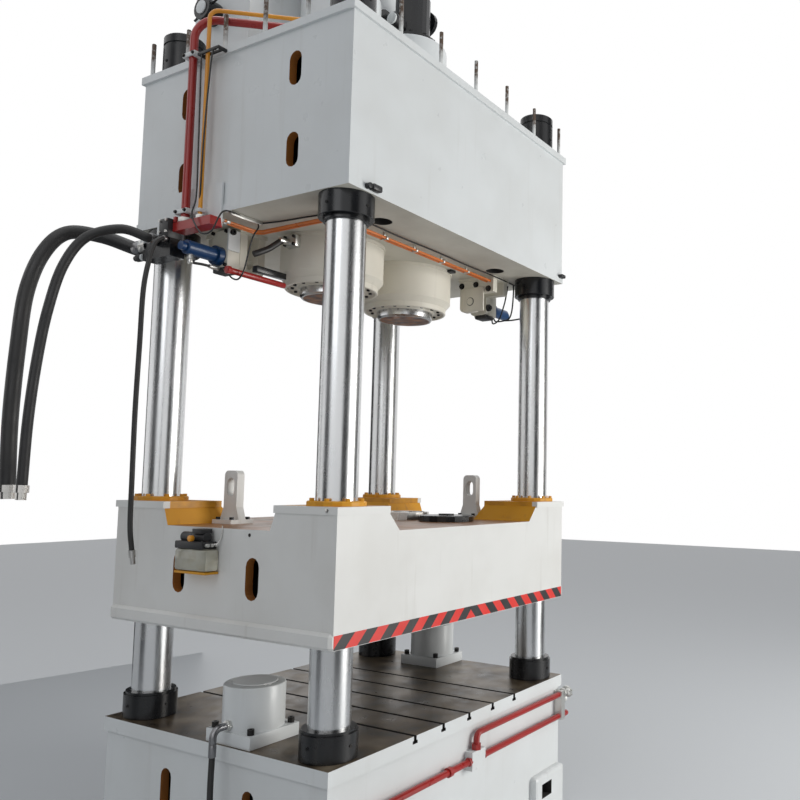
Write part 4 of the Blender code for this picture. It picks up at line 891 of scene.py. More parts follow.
# %% Main cylinders and rams
cylinder_x = 0.4275
cylinder_low, cylinder_high = (corner[2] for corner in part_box("cylinder_left"))
cylinder_bore = 0.2285
sole_seat = sole - seat_gap
gland_radius, body_radius, flange_radius, neck_radius = 0.3375, 0.3750, 0.3850, 0.3000
shoulder_level, flange_level = 4.1360, 4.3767
head_inside = cylinder_high - 0.100
head_round = ((0, 0.030), (0.003, 0.015), (0.015, 0.003), (0.030, 0))
cylinder_outline = [
    (cylinder_bore, cylinder_low), (gland_radius, cylinder_low), (body_radius, shoulder_level),
    (body_radius, flange_level), (flange_radius, flange_level), (flange_radius, sole_seat),
    (neck_radius, sole_seat), (neck_radius, lid)]
cylinder_outline += [(neck_radius - inward, cylinder_high - down) for inward, down in head_round]
cylinder_outline += [
    (0, cylinder_high), (0, head_inside), (cylinder_bore, head_inside), (cylinder_bore, cylinder_low)]

ram_low, ram_high = (corner[2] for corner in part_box("ram_left"))
ram_radius, ram_hollow, rust_radius = 0.2275, 0.1675, 0.2030
ram_edge = 0.012
ram_floor = ram_low + 0.120
ram_outline = (
    (0, ram_low), (rust_radius, ram_low), (ram_radius - ram_edge, ram_low), (ram_radius, ram_low + ram_edge),
    (ram_radius, ram_high), (ram_hollow, ram_high), (ram_hollow, ram_floor), (0, ram_floor), (0, ram_low))

for side, x in (("left", -cylinder_x), ("right", cylinder_x)):
    piece = lathe(cylinder_outline, (x, 0, 0))
    settle(piece, "cylinder_body_" + side, "frame", "cream")
    zone(piece, "white", lambda c, n: c.z > lid)
    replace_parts(piece, "cylinder_" + side)
    piece = lathe(ram_outline, (x, 0, 0))
    settle(piece, "ram_body_" + side, "main_ram_" + side, "chrome")
    zone(piece, "steel", lambda c, n: n.z < -0.2 and c.z < ram_low + ram_edge)
    zone(piece, "rust", lambda c, n, x=x: c.z < ram_low + 0.001 and math.hypot(c.x - x, c.y) < rust_radius)
    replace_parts(piece, "ram_" + side)
print("Main cylinders from", round(cylinder_low, 3), "to", round(cylinder_high, 3), "m")

# %% [markdown]
# ## Lock cylinders
#
# Each lock's blue cylinder sits in a cream guide block on the bracket's outer cheek. It keeps its bore, so
# that the pin still slides in it. Along its own axis the outline has a housing, a flange, a barrel and a cap.

# %% Lock cylinders
lock_x, lock_y, lock_level = 1.0363, 0.367, 4.190
lock_sides = (("left", -1, "-X"), ("right", 1, "X"))
lock_facets = 64
pin_bore = 0.0308
housing_radius, lock_flange_radius, lock_barrel_radius, lock_cap_radius = 0.055, 0.067, 0.048, 0.030
lock_flange_start, lock_flange_end, lock_barrel_end, lock_cap_end = 0.1037, 0.1487, 0.374, 0.410
lock_edge_in, lock_edge_along = 0.004, 0.006
lock_floor = lock_cap_end - 0.050
lock_outline = (
    (pin_bore, 0), (housing_radius, 0), (housing_radius, lock_flange_start),
    (lock_flange_radius, lock_flange_start), (lock_flange_radius, lock_flange_end),
    (lock_barrel_radius, lock_flange_end), (lock_barrel_radius, lock_barrel_end - lock_edge_along),
    (lock_barrel_radius - lock_edge_in, lock_barrel_end), (lock_cap_radius, lock_barrel_end),
    (lock_cap_radius, lock_cap_end), (0, lock_cap_end), (0, lock_floor), (pin_bore, lock_floor),
    (pin_bore, 0))
guide_near, guide_far, guide_half, guide_edge = 1.0365, 1.1395, 0.0825, 0.004
guide_low, guide_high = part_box("lock_bracket_left")[0][2], sole - 0.025
for side, sign, outward in lock_sides:
    y = -sign * lock_y
    piece = lathe(lock_outline, (sign * lock_x, y, lock_level), outward, lock_facets)
    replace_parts(settle(piece, "lock_body_" + side, "frame", "blue"), "lock_cylinder_" + side)
    near, far = sorted((sign * guide_near, sign * guide_far))
    guide = block((near, y - guide_half, guide_low), (far, y + guide_half, guide_high), guide_edge)
    cutter = drum((sign * 1.030, y, lock_level), housing_radius + 0.0002, 0.115, outward, lock_facets, 0.0001)
    settle(bored(guide, cutter), "lock_guide_" + side, "frame", "cream")
print("Lock cylinders:", len(lock_sides))

# %% [markdown]
# ## The pipes over the crown
#
# The main pressure pipe and the slimmer pilot pipe climb the crown's left end and cross low over the lid to
# the left cylinder. Each is a curve with a round section along straight runs and round bends, as a pipe
# bender makes them.

# %% Pipes over the crown
riser_x, riser_foot = -1.406, 4.3553
main_y, main_diameter = 0.390, 0.055
pilot_y, pilot_diameter = 0.240, 0.028
swing_x = -0.9775
barrel_face = 0.307
for name, diameter, y, level_z, bend, swing_y, slot, key in (
    ("pressure_pipe", main_diameter, main_y, 5.790, 0.150, -0.125, "red_paint", "red"),
    ("pilot_pipe", pilot_diameter, pilot_y, 5.805, 0.060, -0.275, "orange_primer", "pilot"),
):
    centre = Vector((-cylinder_x, 0, level_z))
    swing = Vector((swing_x, swing_y, level_z))
    end = centre + (swing - centre).normalized() * barrel_face
    route = bent(((riser_x, y, riser_foot), (riser_x, y, level_z), swing, end), bend)
    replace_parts(settle(line(route, diameter, 5), name + "_skin", "frame", key), name)
    print(name, round(run_length(route), 2), "m")

# %% [markdown]
# ## The twin pipes under the sole
#
# Two thin orange pipes run side by side to the far lock. A small steel strap on a stem holds them to the
# sole every 335 mm.

# %% Twin pipes under the sole
twin_level, twin_pitch, twin_diameter, twin_bend = 4.355, 0.034, 0.020, 0.060
twin_start_x, twin_turn_x, twin_end_x = -1.3597, -1.015, 0.8177
twin_start_y, twin_run_y = 0.130, -0.575
strap_count, strap_pitch, first_strap_x = 5, 0.335, -0.855
strap_half, strap_thick = 0.010, 0.012
stem_half = 0.008
twins = []
for shift in (-twin_pitch / 2, twin_pitch / 2):
    start_y, run_y, turn_x = twin_start_y + shift, twin_run_y + shift, twin_turn_x + shift
    twins.append(line(bent((
        (twin_start_x, start_y, twin_level), (turn_x, start_y, twin_level), (turn_x, run_y, twin_level),
        (twin_end_x, run_y, twin_level)), twin_bend), twin_diameter))
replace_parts(settle(joined(twins), "twin_pipe_pair", "frame", "orange"), "twin_pipes")
straps = []
for i in range(strap_count):
    x = first_strap_x + strap_pitch * i
    straps.append(block(
        (x - strap_half, twin_run_y - twin_pitch, twin_level - strap_thick),
        (x + strap_half, twin_run_y + twin_pitch, twin_level + strap_thick), 0.002))
    straps.append(block(
        (x - stem_half, twin_run_y - stem_half, twin_level + strap_thick - 0.0005),
        (x + stem_half, twin_run_y + stem_half, sole_seat), 0.001))
settle(joined(straps), "twin_pipe_straps", "frame", "zinc")
print("Straps:", strap_count)

# %% [markdown]
# ## Gland rings and cap screws
#
# A gland ring closes each cylinder's mouth, and its screws sit in a turned recess. A press is held together
# by hundreds of screws. Each pattern is one piece: a master head is modelled, then copied round a circle or
# along a row, as a fitter would drill the pattern with one template.

# %% Gland rings, their screws and the valves' foot screws
gland_top, gland_low = cylinder_low - 2 * seat_gap, 4.0500
gland_edge = 0.005
recess_level, recess_inner, recess_outer = 4.0665, 0.2450, 0.3130
lip_level, lip_radius = 4.0520, 0.2400
gland_outline = (
    (cylinder_bore, gland_top), (gland_radius, gland_top), (gland_radius, gland_low + gland_edge),
    (gland_radius - gland_edge, gland_low), (recess_outer + gland_edge, gland_low),
    (recess_outer, recess_level), (recess_inner, recess_level), (lip_radius, lip_level),
    (cylinder_bore, lip_level), (cylinder_bore, gland_top))
gland_screw_circle, gland_screw_count = 0.282, 16
valve_foot, valve_foot_circle, valve_foot_count = 6.409, 0.190, 10
for side, x in (("left", -cylinder_x), ("right", cylinder_x)):
    piece = settle(lathe(gland_outline, (x, 0, 0)), "gland_ring_" + side, "frame", "cream")
    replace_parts(piece, "gland_" + side)
    spots = circle((x, 0, recess_level - 0.0002), gland_screw_circle, gland_screw_count)
    heads = spread(socket_bolt(0.013, 0.012), spots, "-Z")
    settle(heads, "gland_screws_" + side, "frame", "bolt")
    heads = spread(hex_bolt(0.020, 0.022), circle((x, 0, valve_foot), valve_foot_circle, valve_foot_count))
    settle(heads, "valve_foot_screws_" + side, "frame", "bolt")
print("Gland screws:", 2 * gland_screw_count)

# %% [markdown]
# ### Screws at the bases, the lugs and the nuts
#
# Four screws hold each levelling cylinder and each lug. Every column nut is kept from turning by small set
# screws in its side.

# %% Base screws, lug screws and set screws
def square(x, y, reach, level_z):
    """The four corners of a square round a point."""
    return [(x + dx, y + dy, level_z) for dx in (-reach, reach) for dy in (-reach, reach)]


for side, (x, y) in levelling_places.items():
    corners = square(x, y, 0.158, levelling_low + base_height - seat_gap)
    heads = spread(socket_bolt(0.021, 0.034), corners)
    settle(heads, "levelling_base_screws_" + side, "frame", "bolt")

lug_foot_thickness = 0.028
lug_places = {"left": (-0.927, lock_y), "right": (0.927, -lock_y)}
for side, (x, y) in lug_places.items():
    heads = spread(socket_bolt(0.015, 0.018), square(x, y, 0.068, deck + lug_foot_thickness))
    settle(heads, "lug_screws_" + side, "slide", "bolt")

set_screw_rows = ((1.135, bed_nut_radius), (4.320, crown_nut_radius), (5.650, top_nut_radius))
plugs = []
for x, y in column_places.values():
    for level_z, radius in set_screw_rows:
        reach = radius * 0.999 + 0.0005
        plugs.append(turned_to(socket_bolt(0.010, 0.004), (x - reach, y, level_z), "-X"))
        plugs.append(turned_to(socket_bolt(0.010, 0.004), (x, y - reach, level_z), "-Y"))
settle(joined(plugs), "nut_set_screws", "frame", "bolt")
print("Set screws:", len(plugs))

# %% [markdown]
# ## Stripes along the slide
#
# Warning tape runs along the lower edge of the slide's front. It leans one way left of the middle and the
# other way right of it. Each bar is a plane whose upper edge is pushed sideways by its own height. The bars
# are cut off at the middle and at the slide's ends, and Solidify gives the tape its thickness.

# %% Warning stripes
stripe_low, stripe_high = slide_low + 0.0025, 1.7820
stripe_pitch = 0.100
stripe_shift = 0.040
stripe_face = -slide_half_y - 0.0007
stripe_end = slide_half_x - 0.003
stripe_count = 14
tape_thickness = 0.0006


def stripe(centre_x, lean):
    """One slanted bar of tape."""
    height = stripe_high - stripe_low
    middle = (stripe_low + stripe_high) / 2
    bpy.ops.mesh.primitive_plane_add(size=1, location=(0, 0, 0))
    bar = only(bpy.context.object)
    bar.scale = (stripe_pitch, height, 1)
    bar.rotation_euler = (math.pi / 2, 0, 0)
    bar.location = (centre_x, stripe_face, middle)
    bpy.ops.object.transform_apply(location=True, rotation=True, scale=True)
    for vertex in bar.data.vertices:
        if vertex.co.z > middle:
            vertex.co.x += lean * height
    return bar


def tape(offset):
    """Every second bar of both halves, trimmed at the middle and at the ends, with its thickness."""
    bars = []
    for lean, sign in ((1, -1), (-1, 1)):
        half = []
        for i in range(offset, stripe_count + 1, 2):
            half.append(stripe(sign * (stripe_pitch * (i + 0.5) - stripe_shift), lean))
        strip = joined(half)
        for limit, keep in ((0.0, sign), (sign * stripe_end, -sign)):
            only(strip)
            bpy.ops.object.mode_set(mode="EDIT")
            bpy.ops.mesh.select_all(action="SELECT")
            bpy.ops.mesh.bisect(
                plane_co=(limit, 0, 0), plane_no=(1, 0, 0), clear_inner=keep > 0, clear_outer=keep < 0
            )
            done()
        bars.append(strip)
    whole = joined(bars)
    thick = whole.modifiers.new("thickness", "SOLIDIFY")
    thick.thickness = tape_thickness
    thick.offset = 0
    bpy.ops.object.modifier_apply(modifier=thick.name)
    return whole


settle(tape(0), "warning_tape_red", "slide", "tape_red")
settle(tape(1), "warning_tape_black", "slide", "tape_black")
print("Stripes:", 2 * stripe_count)

# %% [markdown]
# ## Fittings at the valve block
#
# The valve block hangs at the crown's left end. A black valve is bolted round its middle, unions and
# ferrules grip the hoses, and a knob shuts the return line.

# %% Valve block fittings
valve_outer_x, valve_inner_x = -1.480, -1.376
valve = block((valve_outer_x, 0.462, block_top), (valve_inner_x, 0.556, 4.382), 0.006)
settle(valve, "valve_body", "frame", "plastic")
spots = [(valve_outer_x, y, z) for y in (0.476, 0.542) for z in (4.290, 4.368)]
settle(spread(socket_bolt(0.009, 0.010), spots, "-X"), "valve_body_screws", "frame", "zinc")

ferrules = []
for name, radius, length, axis, gap in (
    ("return_hose", 0.053, 0.075, "Y", 0.0007), ("feed_hose", 0.037, 0.050, "-X", 0.0007),
    ("drain_hose", 0.021, 0.026, "-X", 0.0007), ("levelling_hose", 0.0225, 0.075, "-Z", 0.0012),
):
    exit_point, next_point = (Vector(p) for p in hose_routes[name][3][:2])
    place = exit_point + (next_point - exit_point).normalized() * gap
    ferrules.append(drum(place, radius, length, axis))
settle(joined(ferrules), "hose_ferrules", "frame", "dark_steel")

union_foot = riser_foot + 0.0002
return_x, return_level = hose_routes["return_hose"][3][0][0::2]
unions = [
    drum((return_x, 0.765, return_level), 0.061, 0.024, "Y", 6),
    drum((riser_x, main_y, union_foot), 0.044, 0.030, "Z", 6),
    drum((riser_x, pilot_y, union_foot), 0.026, 0.030, "Z", 6),
    drum((elbow_start_x - 0.003, elbow_end.y, elbow_level), 0.034, 0.020, "-X", 6),
    drum((elbow_start_x - 0.023, elbow_end.y, elbow_level), 0.028, 0.012, "-X"),
]
settle(joined(unions), "pipe_unions", "frame", "zinc")

blank_x, blank_level = -1.445, 4.158
ring = drum((blank_x, port_start, blank_level), 0.024, 0.020, "Y")
settle(ring, "blank_cap_ring", "frame", "white")
plug = [
    drum((blank_x, port_start + 0.020, blank_level), 0.026, 0.050, "Y", 12),
    drum((blank_x, port_start + 0.070, blank_level), 0.019, 0.025, "Y"),
]
settle(joined(plug), "blank_cap", "frame", "plastic")

knob_x, knob_y, knob_level = -1.430, 0.620, block_top + 0.032
knob = [
    drum((knob_x, knob_y, block_top), 0.009, 0.030),
    drum((knob_x, knob_y - 0.032, knob_level), 0.017, 0.060, "Y", 12),
    drum((knob_x - 0.025, knob_y - 0.002, knob_level), 0.010, 0.050, "X", 12),
]
settle(joined(knob), "shut_off_knob", "frame", "plastic")
cartridge = block((-1.452, 0.425, hanger_level), (-1.428, 0.450, 4.392))
settle(cartridge, "pilot_cartridge", "frame", "red")
print("Valve block fitted")

# %% [markdown]
# ## Pipe clamps
#
# Pipes that pulse at high pressure must be held. A strap with two bolts grips the main pipe at the lid and
# at the sole, and a slimmer black one holds the pilot pipe and its cables.

# %% Pipe clamps
main_radius = main_diameter / 2
clamp_reach, clamp_half, clamp_plate = 0.062, 0.015, 0.012
clamp_bolt_reach = 0.046
end_face, hanger_face = -1.3605, -1.3745
for name, z, foot in (("upper", 5.515, end_face), ("lower", 4.425, hanger_face)):
    inner, outer = riser_x + main_radius, riser_x - main_radius
    low_z, high_z = z - clamp_half, z + clamp_half
    parts = [
        block((inner, main_y - clamp_reach, low_z), (foot, main_y + clamp_reach, high_z)),
        block((outer - clamp_plate, main_y - clamp_reach, low_z), (outer, main_y + clamp_reach, high_z)),
    ]
    for low, high in ((-clamp_reach, -main_radius), (main_radius, clamp_reach)):
        parts.append(block((outer, main_y + low, low_z), (inner, main_y + high, high_z), 0.001))
    settle(joined(parts), "main_clamp_" + name, "frame", "white")
    spots = [(outer - clamp_plate, main_y + side * clamp_bolt_reach, z) for side in (-1, 1)]
    bolts = spread(hex_bolt(0.010, 0.012), spots, "-X")
    settle(bolts, "main_clamp_bolts_" + name, "frame", "bolt")

strap_low, strap_high = 5.492, 5.512
strap_start, strap_end, strap_leg = 0.104, 0.318, 0.020
strap_outer, strap_inner = -1.4195, -1.3925
strap = [
    block((-1.430, strap_start, strap_low), (strap_outer, strap_end, strap_high)),
    block((strap_inner, strap_start, strap_low), (-1.382, strap_end, strap_high)),
    block((strap_outer, strap_start, strap_low), (end_face, strap_start + strap_leg, strap_high)),
    block((strap_outer, strap_end - strap_leg, strap_low), (end_face, strap_end, strap_high)),
]
settle(joined(strap), "pilot_strap", "frame", "plastic")
clip = block((-1.428, pilot_y - 0.024, 4.404), (hanger_face, pilot_y + 0.024, 4.426))
settle(clip, "pilot_clip", "frame", "white")

strip_start, strip_stop, strip_top = -1.344, -1.085, 4.3985
strip = [
    block((strip_start, 0.012, 4.391), (strip_stop, 0.062, strip_top), 0.001),
    block((strip_start, 0.008, 4.370), (strip_stop, 0.012, strip_top), 0.001),
]
settle(joined(strip), "cable_strip", "frame", "zinc")
ends = []
for x, radius, length in ((-1.372, 0.0155, 0.050), (-1.300, 0.0135, 0.030)):
    for y in (twin_start_y - twin_pitch / 2, twin_start_y + twin_pitch / 2):
        ends.append(drum((x, y, twin_level), radius, length, "X", 6))
settle(joined(ends), "twin_pipe_unions", "frame", "zinc")
print("Clamps done")

# %% [markdown]
# ## Slide locks
#
# Under the crown's ends a cylinder pushes a pin through the slide's lug. The left lock is seen from outside:
# a white cover plate, black screws, its oil port and a small valve.

# %% Left lock
left_face = -guide_far - 0.001
cover = block((-1.150, 0.268, 4.225), (-1.052, 0.2835, 4.374))
settle(cover, "lock_cover_left", "frame", "white")
spots = [(left_face, y, z) for y in (0.300, 0.434) for z in (4.125, 4.360)]
heads = [spread(socket_bolt(0.013, 0.014), spots, "-X")]
heads.append(spread(socket_bolt(0.020, 0.018), [(-1.120, 0.268, 4.352)], "-Y"))
settle(joined(heads), "lock_cover_screws", "frame", "bolt")
port_x, port_level = -1.368, 4.146
port = [
    drum((port_x, lock_y, port_level), 0.024, 0.034, "-Z", 6),
    drum((port_x, lock_y, port_level - 0.034), 0.018, 0.024, "-Z"),
    drum((-1.232, 0.352, 4.098), 0.014, 0.080, "X"),
]
settle(joined(port), "lock_port_left", "frame", "zinc")
valve = block((-1.150, 0.298, 4.074), (-1.040, 0.420, guide_low - 0.0005), 0.008)
settle(valve, "lock_valve_left", "frame", "plastic")
print("Left lock fitted")

# %% [markdown]
# ### The right lock
#
# It is seen from inside: a cream cover with a round boss, three large screws, and the limit switch below.

# %% Right lock
cover_face, cheek_face = 0.803, 0.8175
boss_y, boss_level = -0.402, 4.193
cover = block((cover_face, -0.535, 4.105), (cheek_face, -0.328, 4.312), 0.006)
settle(cover, "lock_cover_right", "frame", "cream")
boss = drum((cover_face, boss_y, boss_level), 0.031, 0.008, "-X")
settle(boss, "lock_boss_right", "frame", "cream")
seal = drum((cover_face, boss_y, boss_level), 0.036, 0.003, "-X")
settle(seal, "lock_boss_seal", "frame", "gasket")
spots = [(cheek_face, y, z) for y, z in ((-0.302, 4.338), (-0.448, 4.338), (-0.575, 4.292))]
settle(spread(hex_bolt(0.021, 0.016), spots, "-X"), "lock_screws_right", "frame", "bolt")
switch_x, switch_level = 1.000, 4.172
switch = [
    drum((switch_x, -lock_y - guide_half, switch_level), 0.030, 0.024, "-Y"),
    drum((switch_x, -lock_y - guide_half - 0.024, switch_level), 0.017, 0.016, "-Y"),
    block((0.978, -0.450, 4.078), (1.100, -0.330, guide_low - 0.0005), 0.008),
]
settle(joined(switch), "lock_switch_right", "frame", "plastic")
stop = block((0.495, -0.420, 4.380), (0.560, -0.300, 4.399))
settle(stop, "sole_stop", "frame", "plastic")
print("Right lock fitted")

# %% [markdown]
# ## The port of the left main cylinder
#
# A steel saddle with four screws takes the short pipe that comes from the left lock.

# %% Port of the left cylinder
saddle_face = -0.845
saddle = [
    block((saddle_face, -0.050, 4.290), (-0.796, 0.062, 4.372)),
    drum((saddle_face - 0.085, 0.020, 4.318), 0.022, 0.090, "X"),
]
settle(joined(saddle), "cylinder_port", "frame", "zinc")
spots = [(saddle_face, y, z) for y in (-0.036, 0.048) for z in (4.304, 4.358)]
settle(spread(socket_bolt(0.011, 0.014), spots, "-X"), "cylinder_port_screws", "frame", "bolt")
print("Cylinder port fitted")

# %% [markdown]
# ## Cables and small lines
#
# Thin black cables come down the crown's end beside the pilot pipe, loop at the valve block and run along
# the twin pipes to the far lock. They are clipped on, so they hang in short arcs between the clips.

# %% Cables
cables = {
    "pilot_cable": (0.011, "rubber", (
        (-1.406, 0.280, 5.508), (-1.428, 0.276, 5.460), (-1.430, 0.268, 5.200), (-1.432, 0.256, 4.850),
        (-1.438, 0.244, 4.506), (-1.466, 0.241, 4.378), (-1.468, 0.195, 4.290), (-1.466, 0.131, 4.228),
        (-1.455, 0.055, 4.236), (-1.446, 0.003, 4.320), (-1.420, -0.012, 4.366), (-1.340, 0.006, 4.386),
        (-1.200, 0.020, 4.384), (-1.090, 0.040, 4.386))),
    "sensor_cable": (0.011, "rubber", (
        (-1.406, 0.165, 5.508), (-1.428, 0.168, 5.460), (-1.430, 0.190, 5.200), (-1.426, 0.214, 4.900),
        (-1.424, 0.224, 4.600), (-1.406, 0.250, 4.425))),
    "lock_cable": (0.011, "rubber", (
        (-1.090, 0.050, 4.386), (-1.140, -0.010, 4.335), (-1.185, -0.015, 4.260), (-1.200, 0.000, 4.160),
        (-1.200, 0.040, 4.040), (-1.200, 0.090, 3.985), (-1.200, 0.155, 4.000), (-1.190, 0.227, 4.060),
        (-1.150, 0.310, 4.095))),
    "lock_line": (0.018, "rubber", (
        (-1.368, 0.367, 4.098), (-1.340, 0.362, 4.094), (-1.280, 0.355, 4.098), (-1.200, 0.350, 4.098),
        (-1.120, 0.350, 4.096))),
    "crown_cable": (0.012, "rubber", (
        (-1.09, 0.045, 4.388), (-1.06, -0.15, 4.386), (-1.04, -0.4, 4.386), (-0.99, -0.6, 4.386),
        (-0.800, -0.640, 4.386), (-0.400, -0.632, 4.386), (0.000, -0.640, 4.386), (0.400, -0.632, 4.386),
        (0.800, -0.640, 4.386), (1.180, -0.620, 4.388))),
    "far_cable_a": (0.013, "rubber", (
        (1.180, -0.540, 4.394), (1.200, -0.521, 4.350), (1.205, -0.492, 4.240), (1.205, -0.440, 4.110),
        (1.200, -0.380, 4.075), (1.196, -0.367, 4.130))),
    "far_cable_b": (0.013, "rubber", (
        (1.180, -0.600, 4.394), (1.200, -0.590, 4.330), (1.205, -0.574, 4.180), (1.205, -0.545, 4.108),
        (1.205, -0.490, 4.092), (1.215, -0.400, 4.096), (1.220, -0.370, 4.132))),
    "far_cable_c": (0.013, "rubber", (
        (1.205, -0.500, 4.092), (1.215, -0.570, 4.092), (1.230, -0.640, 4.100), (1.320, -0.680, 4.130))),
    "damper_hose": (0.044, "rubber", (
        (-1.095, 0.075, 4.180), (-1.060, 0.060, 4.200), (-1.000, 0.046, 4.236), (-0.960, 0.034, 4.270),
        (-0.920, 0.024, 4.305), (-0.900, 0.020, 4.318))),
    "lubricator_line": (0.008, "zinc", (
        (-1.359, -0.062, 2.362), (-1.362, -0.064, 2.31), (-1.376, -0.05, 2.256), (-1.4, -0.026, 2.242))),
}
for name, (diameter, key, points) in cables.items():
    first = Vector(points[0]) + (Vector(points[0]) - Vector(points[1])) * 0.01
    route = smooth_route([first, *points], 12 * len(points))
    body = "slide" if name == "lubricator_line" else "frame"
    settle(line(route, diameter, 3), name, body, key)
cross_y, cross_level = 0.100, 4.030
cross_line = [
    drum((-1.276, cross_y, cross_level), 0.021, 0.480, "X"),
    drum((-1.290, cross_y, cross_level), 0.028, 0.030, "X", 6),
]
settle(joined(cross_line), "cross_line", "frame", "red")
bar = block((-1.060, cross_y - 0.025, 4.070), (-0.800, cross_y + 0.025, 4.112))
settle(bar, "cross_bar", "frame", "black")
print("Cables:", len(cables))

# %% [markdown]
# ## Valves over the crown
#
# Bolted flanges stand round the prefill valves, a pilot head looks out of each, and the tank's drain cock
# has a wheel with radial handles. Small black taps peep out under the crown's front edge.

# %% Crown top fittings
valve_cap, valve_cap_circle, valve_cap_count = 6.803, 0.085, 6
pilot_head_level, pilot_head_start = 6.510, 0.262
for side, x in (("left", -cylinder_x), ("right", cylinder_x)):
    spots = circle((x, 0, valve_cap), valve_cap_circle, valve_cap_count)
    settle(spread(hex_bolt(0.012, 0.014), spots), "valve_cap_screws_" + side, "frame", "bolt")
    head = drum((x - pilot_head_start, 0, pilot_head_level), 0.055, 0.125, "X")
    settle(head, "pilot_head_" + side, "frame", "plastic")
    ring = drum((x - pilot_head_start - 0.018, 0, pilot_head_level), 0.048, 0.018, "X")
    settle(ring, "pilot_head_ring_" + side, "frame", "white")

wheel_y, wheel_level = 0.690, 6.101
spoke_count, spoke_reach, spoke_radius, spoke_length = 8, 0.106, 0.0085, 0.060
spokes = []
for i in range(spoke_count):
    angle = math.tau * (i + 0.5) / spoke_count
    across, rise = -spoke_reach * math.sin(angle), spoke_reach * math.cos(angle)
    bpy.ops.mesh.primitive_cylinder_add(
        vertices=10, radius=spoke_radius, depth=spoke_length, rotation=(angle, 0, 0),
        location=(-1.105, wheel_y + across, wheel_level + rise),
    )
    spokes.append(softened(only(bpy.context.object), 0.002))
settle(joined(spokes), "drain_wheel_spokes", "frame", "plastic")
hub = drum((-1.1435, wheel_y, wheel_level), 0.050, 0.010, "-X")
settle(hub, "drain_wheel_hub", "frame", "white")

front_face = -crown_half_y - seat_gap
taps = [
    drum((-1.190, front_face, 4.432), 0.018, 0.040, "-Y"),
    block((-1.168, front_face - 0.0447, 4.415), (-1.085, front_face, 4.455), 0.010),
    block((1.270, front_face - 0.0447, 4.440), (1.335, front_face, 4.470), 0.008),
]
settle(joined(taps), "sole_taps", "frame", "plastic")
print("Crown top fitted")

# %% [markdown]
# ## Ends of the front pipes
#
# The red pipes end in bolted flanges at the bed's right corner and in a hexagon at the middle block.

# %% Front pipe fittings
front_pipe_y = -1.044
upper_pipe_z, lower_pipe_z = 0.905, 0.732
pipe_end_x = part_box("bed_pipes_right")[1][0] + 0.0005
elbow_x = 1.378
flanges = [
    drum((pipe_end_x, front_pipe_y, upper_pipe_z), 0.040, 0.020, "X"),
    drum((pipe_end_x + 0.020, front_pipe_y, upper_pipe_z), 0.028, 0.0495, "X"),
    drum((1.400, front_pipe_y, upper_pipe_z), 0.044, 0.020, "X"),
    drum((elbow_x, front_pipe_y - 0.022, upper_pipe_z), 0.034, 0.034, "-Y"),
    drum((elbow_x, front_pipe_y, upper_pipe_z - 0.073), 0.026, 0.050, "Z", 6),
]
settle(joined(flanges), "front_pipe_flanges", "frame", "zinc")
spots = circle((elbow_x, front_pipe_y - 0.056, upper_pipe_z), 0.026, 4, "Y", math.pi / 4)
heads = spread(socket_bolt(0.006, 0.008), spots, "-Y")
settle(heads, "front_flange_screws", "frame", "zinc")
collars = [
    drum((pipe_end_x, front_pipe_y, lower_pipe_z), 0.030, 0.028, "X", 6),
    drum((0.1435, front_pipe_y, lower_pipe_z), 0.028, 0.014, "X"),
    drum((-0.0425, front_pipe_y, lower_pipe_z), 0.031, 0.022, "X", 6),
    drum((pipe_end_x + 0.028, front_pipe_y, lower_pipe_z), 0.024, 0.050, "X"),
]
settle(joined(collars), "front_pipe_collars", "frame", "red")
print("Front pipes end at", round(pipe_end_x, 3), "m")

# %% [markdown]
# ## The lubricator and the slide's end
#
# The pump stands on its clear reservoir. Its outlet line climbs to the deck.

# %% Lubricator
wall_side = slide_end - 0.0005
pump = [
    block((-1.465, -0.015, 2.218), (wall_side, 0.247, 2.264), 0.006),
    drum((-1.410, 0.005, 2.288), 0.032, 0.222, "Y", 32),
]
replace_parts(settle(joined(pump), "lubricator_pump", "slide", "plastic"), "lube_pump")
shell = block((-1.460, -0.044, 2.080), (wall_side, 0.256, 2.2175), 0.020)
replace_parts(settle(shell, "lubricator_reservoir", "slide", "clear"), "lube_reservoir")
cap = block((-1.452, 0.012, 2.312), (-1.372, 0.102, 2.342))
settle(cap, "lubricator_cap", "slide", "plastic")
knob = drum((-1.460, 0.082, 2.284), 0.019, 0.026, "-X")
settle(knob, "lubricator_knob", "slide", "pilot")
outlets = [drum((x, -0.016, 2.243), 0.012, 0.028, "-Y", 6) for x in (-1.440, -1.410, -1.380)]
outlets.append(drum((-1.420, 0.030, 2.262), 0.016, 0.036, "Z", 6))
settle(joined(outlets), "lubricator_outlets", "slide", "zinc")
tray = block((-1.458, -0.042, 2.064), (-1.357, 0.250, 2.0785))
settle(tray, "lubricator_tray", "slide", "amber")
# The oil point is a thin near-black disc: painted shade in its hole.
oil_point = drum((-1.3551, -0.305, 2.314), 0.011, 0.003, "-X")
settle(oil_point, "oil_point_left", "slide", "hollow")
tower_plug = drum((-1.3672, -0.945, 2.479), 0.014, 0.004, "-X")
settle(tower_plug, "tower_plug_left", "slide", "steel")
print("Lubricator fitted")

# %% [markdown]
# ## Light
#
# Soft daylight from the right and from above, as in the hall. The camera and mirrors see a white world,
# while everything else is lit by a dim cool one, so the background stays white without lighting the press.

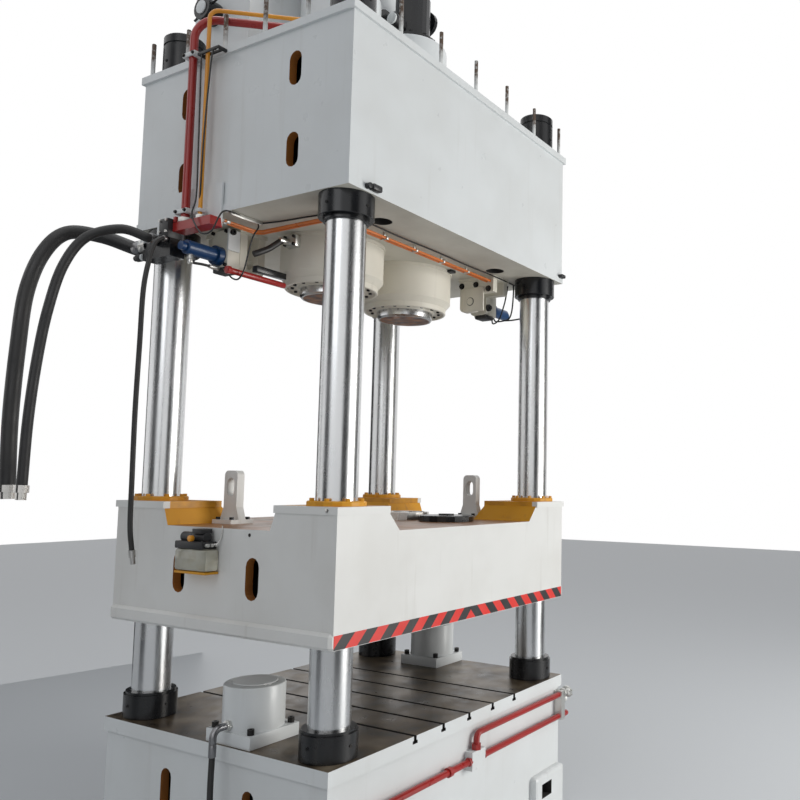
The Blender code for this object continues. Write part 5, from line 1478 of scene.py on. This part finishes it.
# %% Light
world = bpy.data.worlds.new("studio")
world.use_nodes = True
bpy.context.scene.world = world
tree = world.node_tree
tree.nodes.clear()
path = tree.nodes.new("ShaderNodeLightPath")
seen = path.outputs["Is Camera Ray"]
for name in ("Is Glossy Ray", "Is Transmission Ray"):
    most = tree.nodes.new("ShaderNodeMath")
    most.operation = "MAXIMUM"
    tree.links.new(seen, most.inputs[0])
    tree.links.new(path.outputs[name], most.inputs[1])
    seen = most.outputs[0]
ambient = tree.nodes.new("ShaderNodeBackground")
ambient.inputs["Color"].default_value = (0.95, 0.97, 1.0, 1)
ambient.inputs["Strength"].default_value = 0.34
backdrop = tree.nodes.new("ShaderNodeBackground")
backdrop.inputs["Color"].default_value = (1, 1, 1, 1)
backdrop.inputs["Strength"].default_value = 1.0
choice = tree.nodes.new("ShaderNodeMixShader")
output = tree.nodes.new("ShaderNodeOutputWorld")
tree.links.new(seen, choice.inputs[0])
tree.links.new(ambient.outputs[0], choice.inputs[1])
tree.links.new(backdrop.outputs[0], choice.inputs[2])
tree.links.new(choice.outputs[0], output.inputs["Surface"])


def lamp(name, place, target, size, power, colour):
    """A square soft box that looks at a target."""
    data = bpy.data.lights.new(name, "AREA")
    data.size = size
    data.energy = power
    data.color = colour
    obj = bpy.data.objects.new(name, data)
    obj.location = place
    obj.rotation_euler = (Vector(target) - Vector(place)).to_track_quat("-Z", "Y").to_euler()
    bpy.context.scene.collection.objects.link(obj)


lamp("daylight", (4.0, -9.5, 3.2), (0, 0, 1.6), 5.0, 610, (1.0, 0.985, 0.95))
lamp("hall_fill", (-9.0, -1.0, 7.0), (0, 0, 3), 5.0, 90, (0.95, 0.97, 1.0))
lamp("roof_light", (0, 0, 13.0), (0, 0, 0), 7.0, 320, (0.95, 0.98, 1.0))
print("Lamps and world ready")

# %% [markdown]
# ## Floor and cards
#
# The pale floor lies half a millimetre under the bed, so that the two faces don't fight. Dark cards stand
# round the press where only mirrors see them. The chrome's vertical bands come from them and from the painted
# reflection streaks in its finish.

# %% Floor and cards
bpy.ops.mesh.primitive_plane_add(size=60, location=(0, 0, -0.0005))
floor = bpy.context.object
floor.name = "floor"
material, tree, shader = blank("floor_paint")
shader.inputs["Base Color"].default_value = (0.62, 0.64, 0.66, 1)
shader.inputs["Roughness"].default_value = 0.5
floor.data.materials.append(material)

card_distance = 7.0
card_height = 9.0
material, tree, shader = blank("card_black")
shader.inputs["Base Color"].default_value = (0.02, 0.02, 0.022, 1)
shader.inputs["Roughness"].default_value = 1.0
for number, (azimuth, width) in enumerate(((165, 3.2), (250, 3.6), (318, 4.4), (80, 5.0))):
    angle = math.radians(azimuth)
    bpy.ops.mesh.primitive_plane_add(
        size=1, location=(card_distance * math.cos(angle), card_distance * math.sin(angle), card_height / 2)
    )
    card = only(bpy.context.object)
    card.scale = (width, card_height, 1)
    card.rotation_euler = (math.pi / 2, 0, angle + math.pi / 2)
    card.name = "card_%d" % number
    card.data.materials.append(material)
    card.visible_camera = False
    card.visible_diffuse = False
    card.visible_shadow = False
    card.visible_transmission = False
bpy.context.scene.view_settings.view_transform = "Standard"
print("Floor and cards ready")
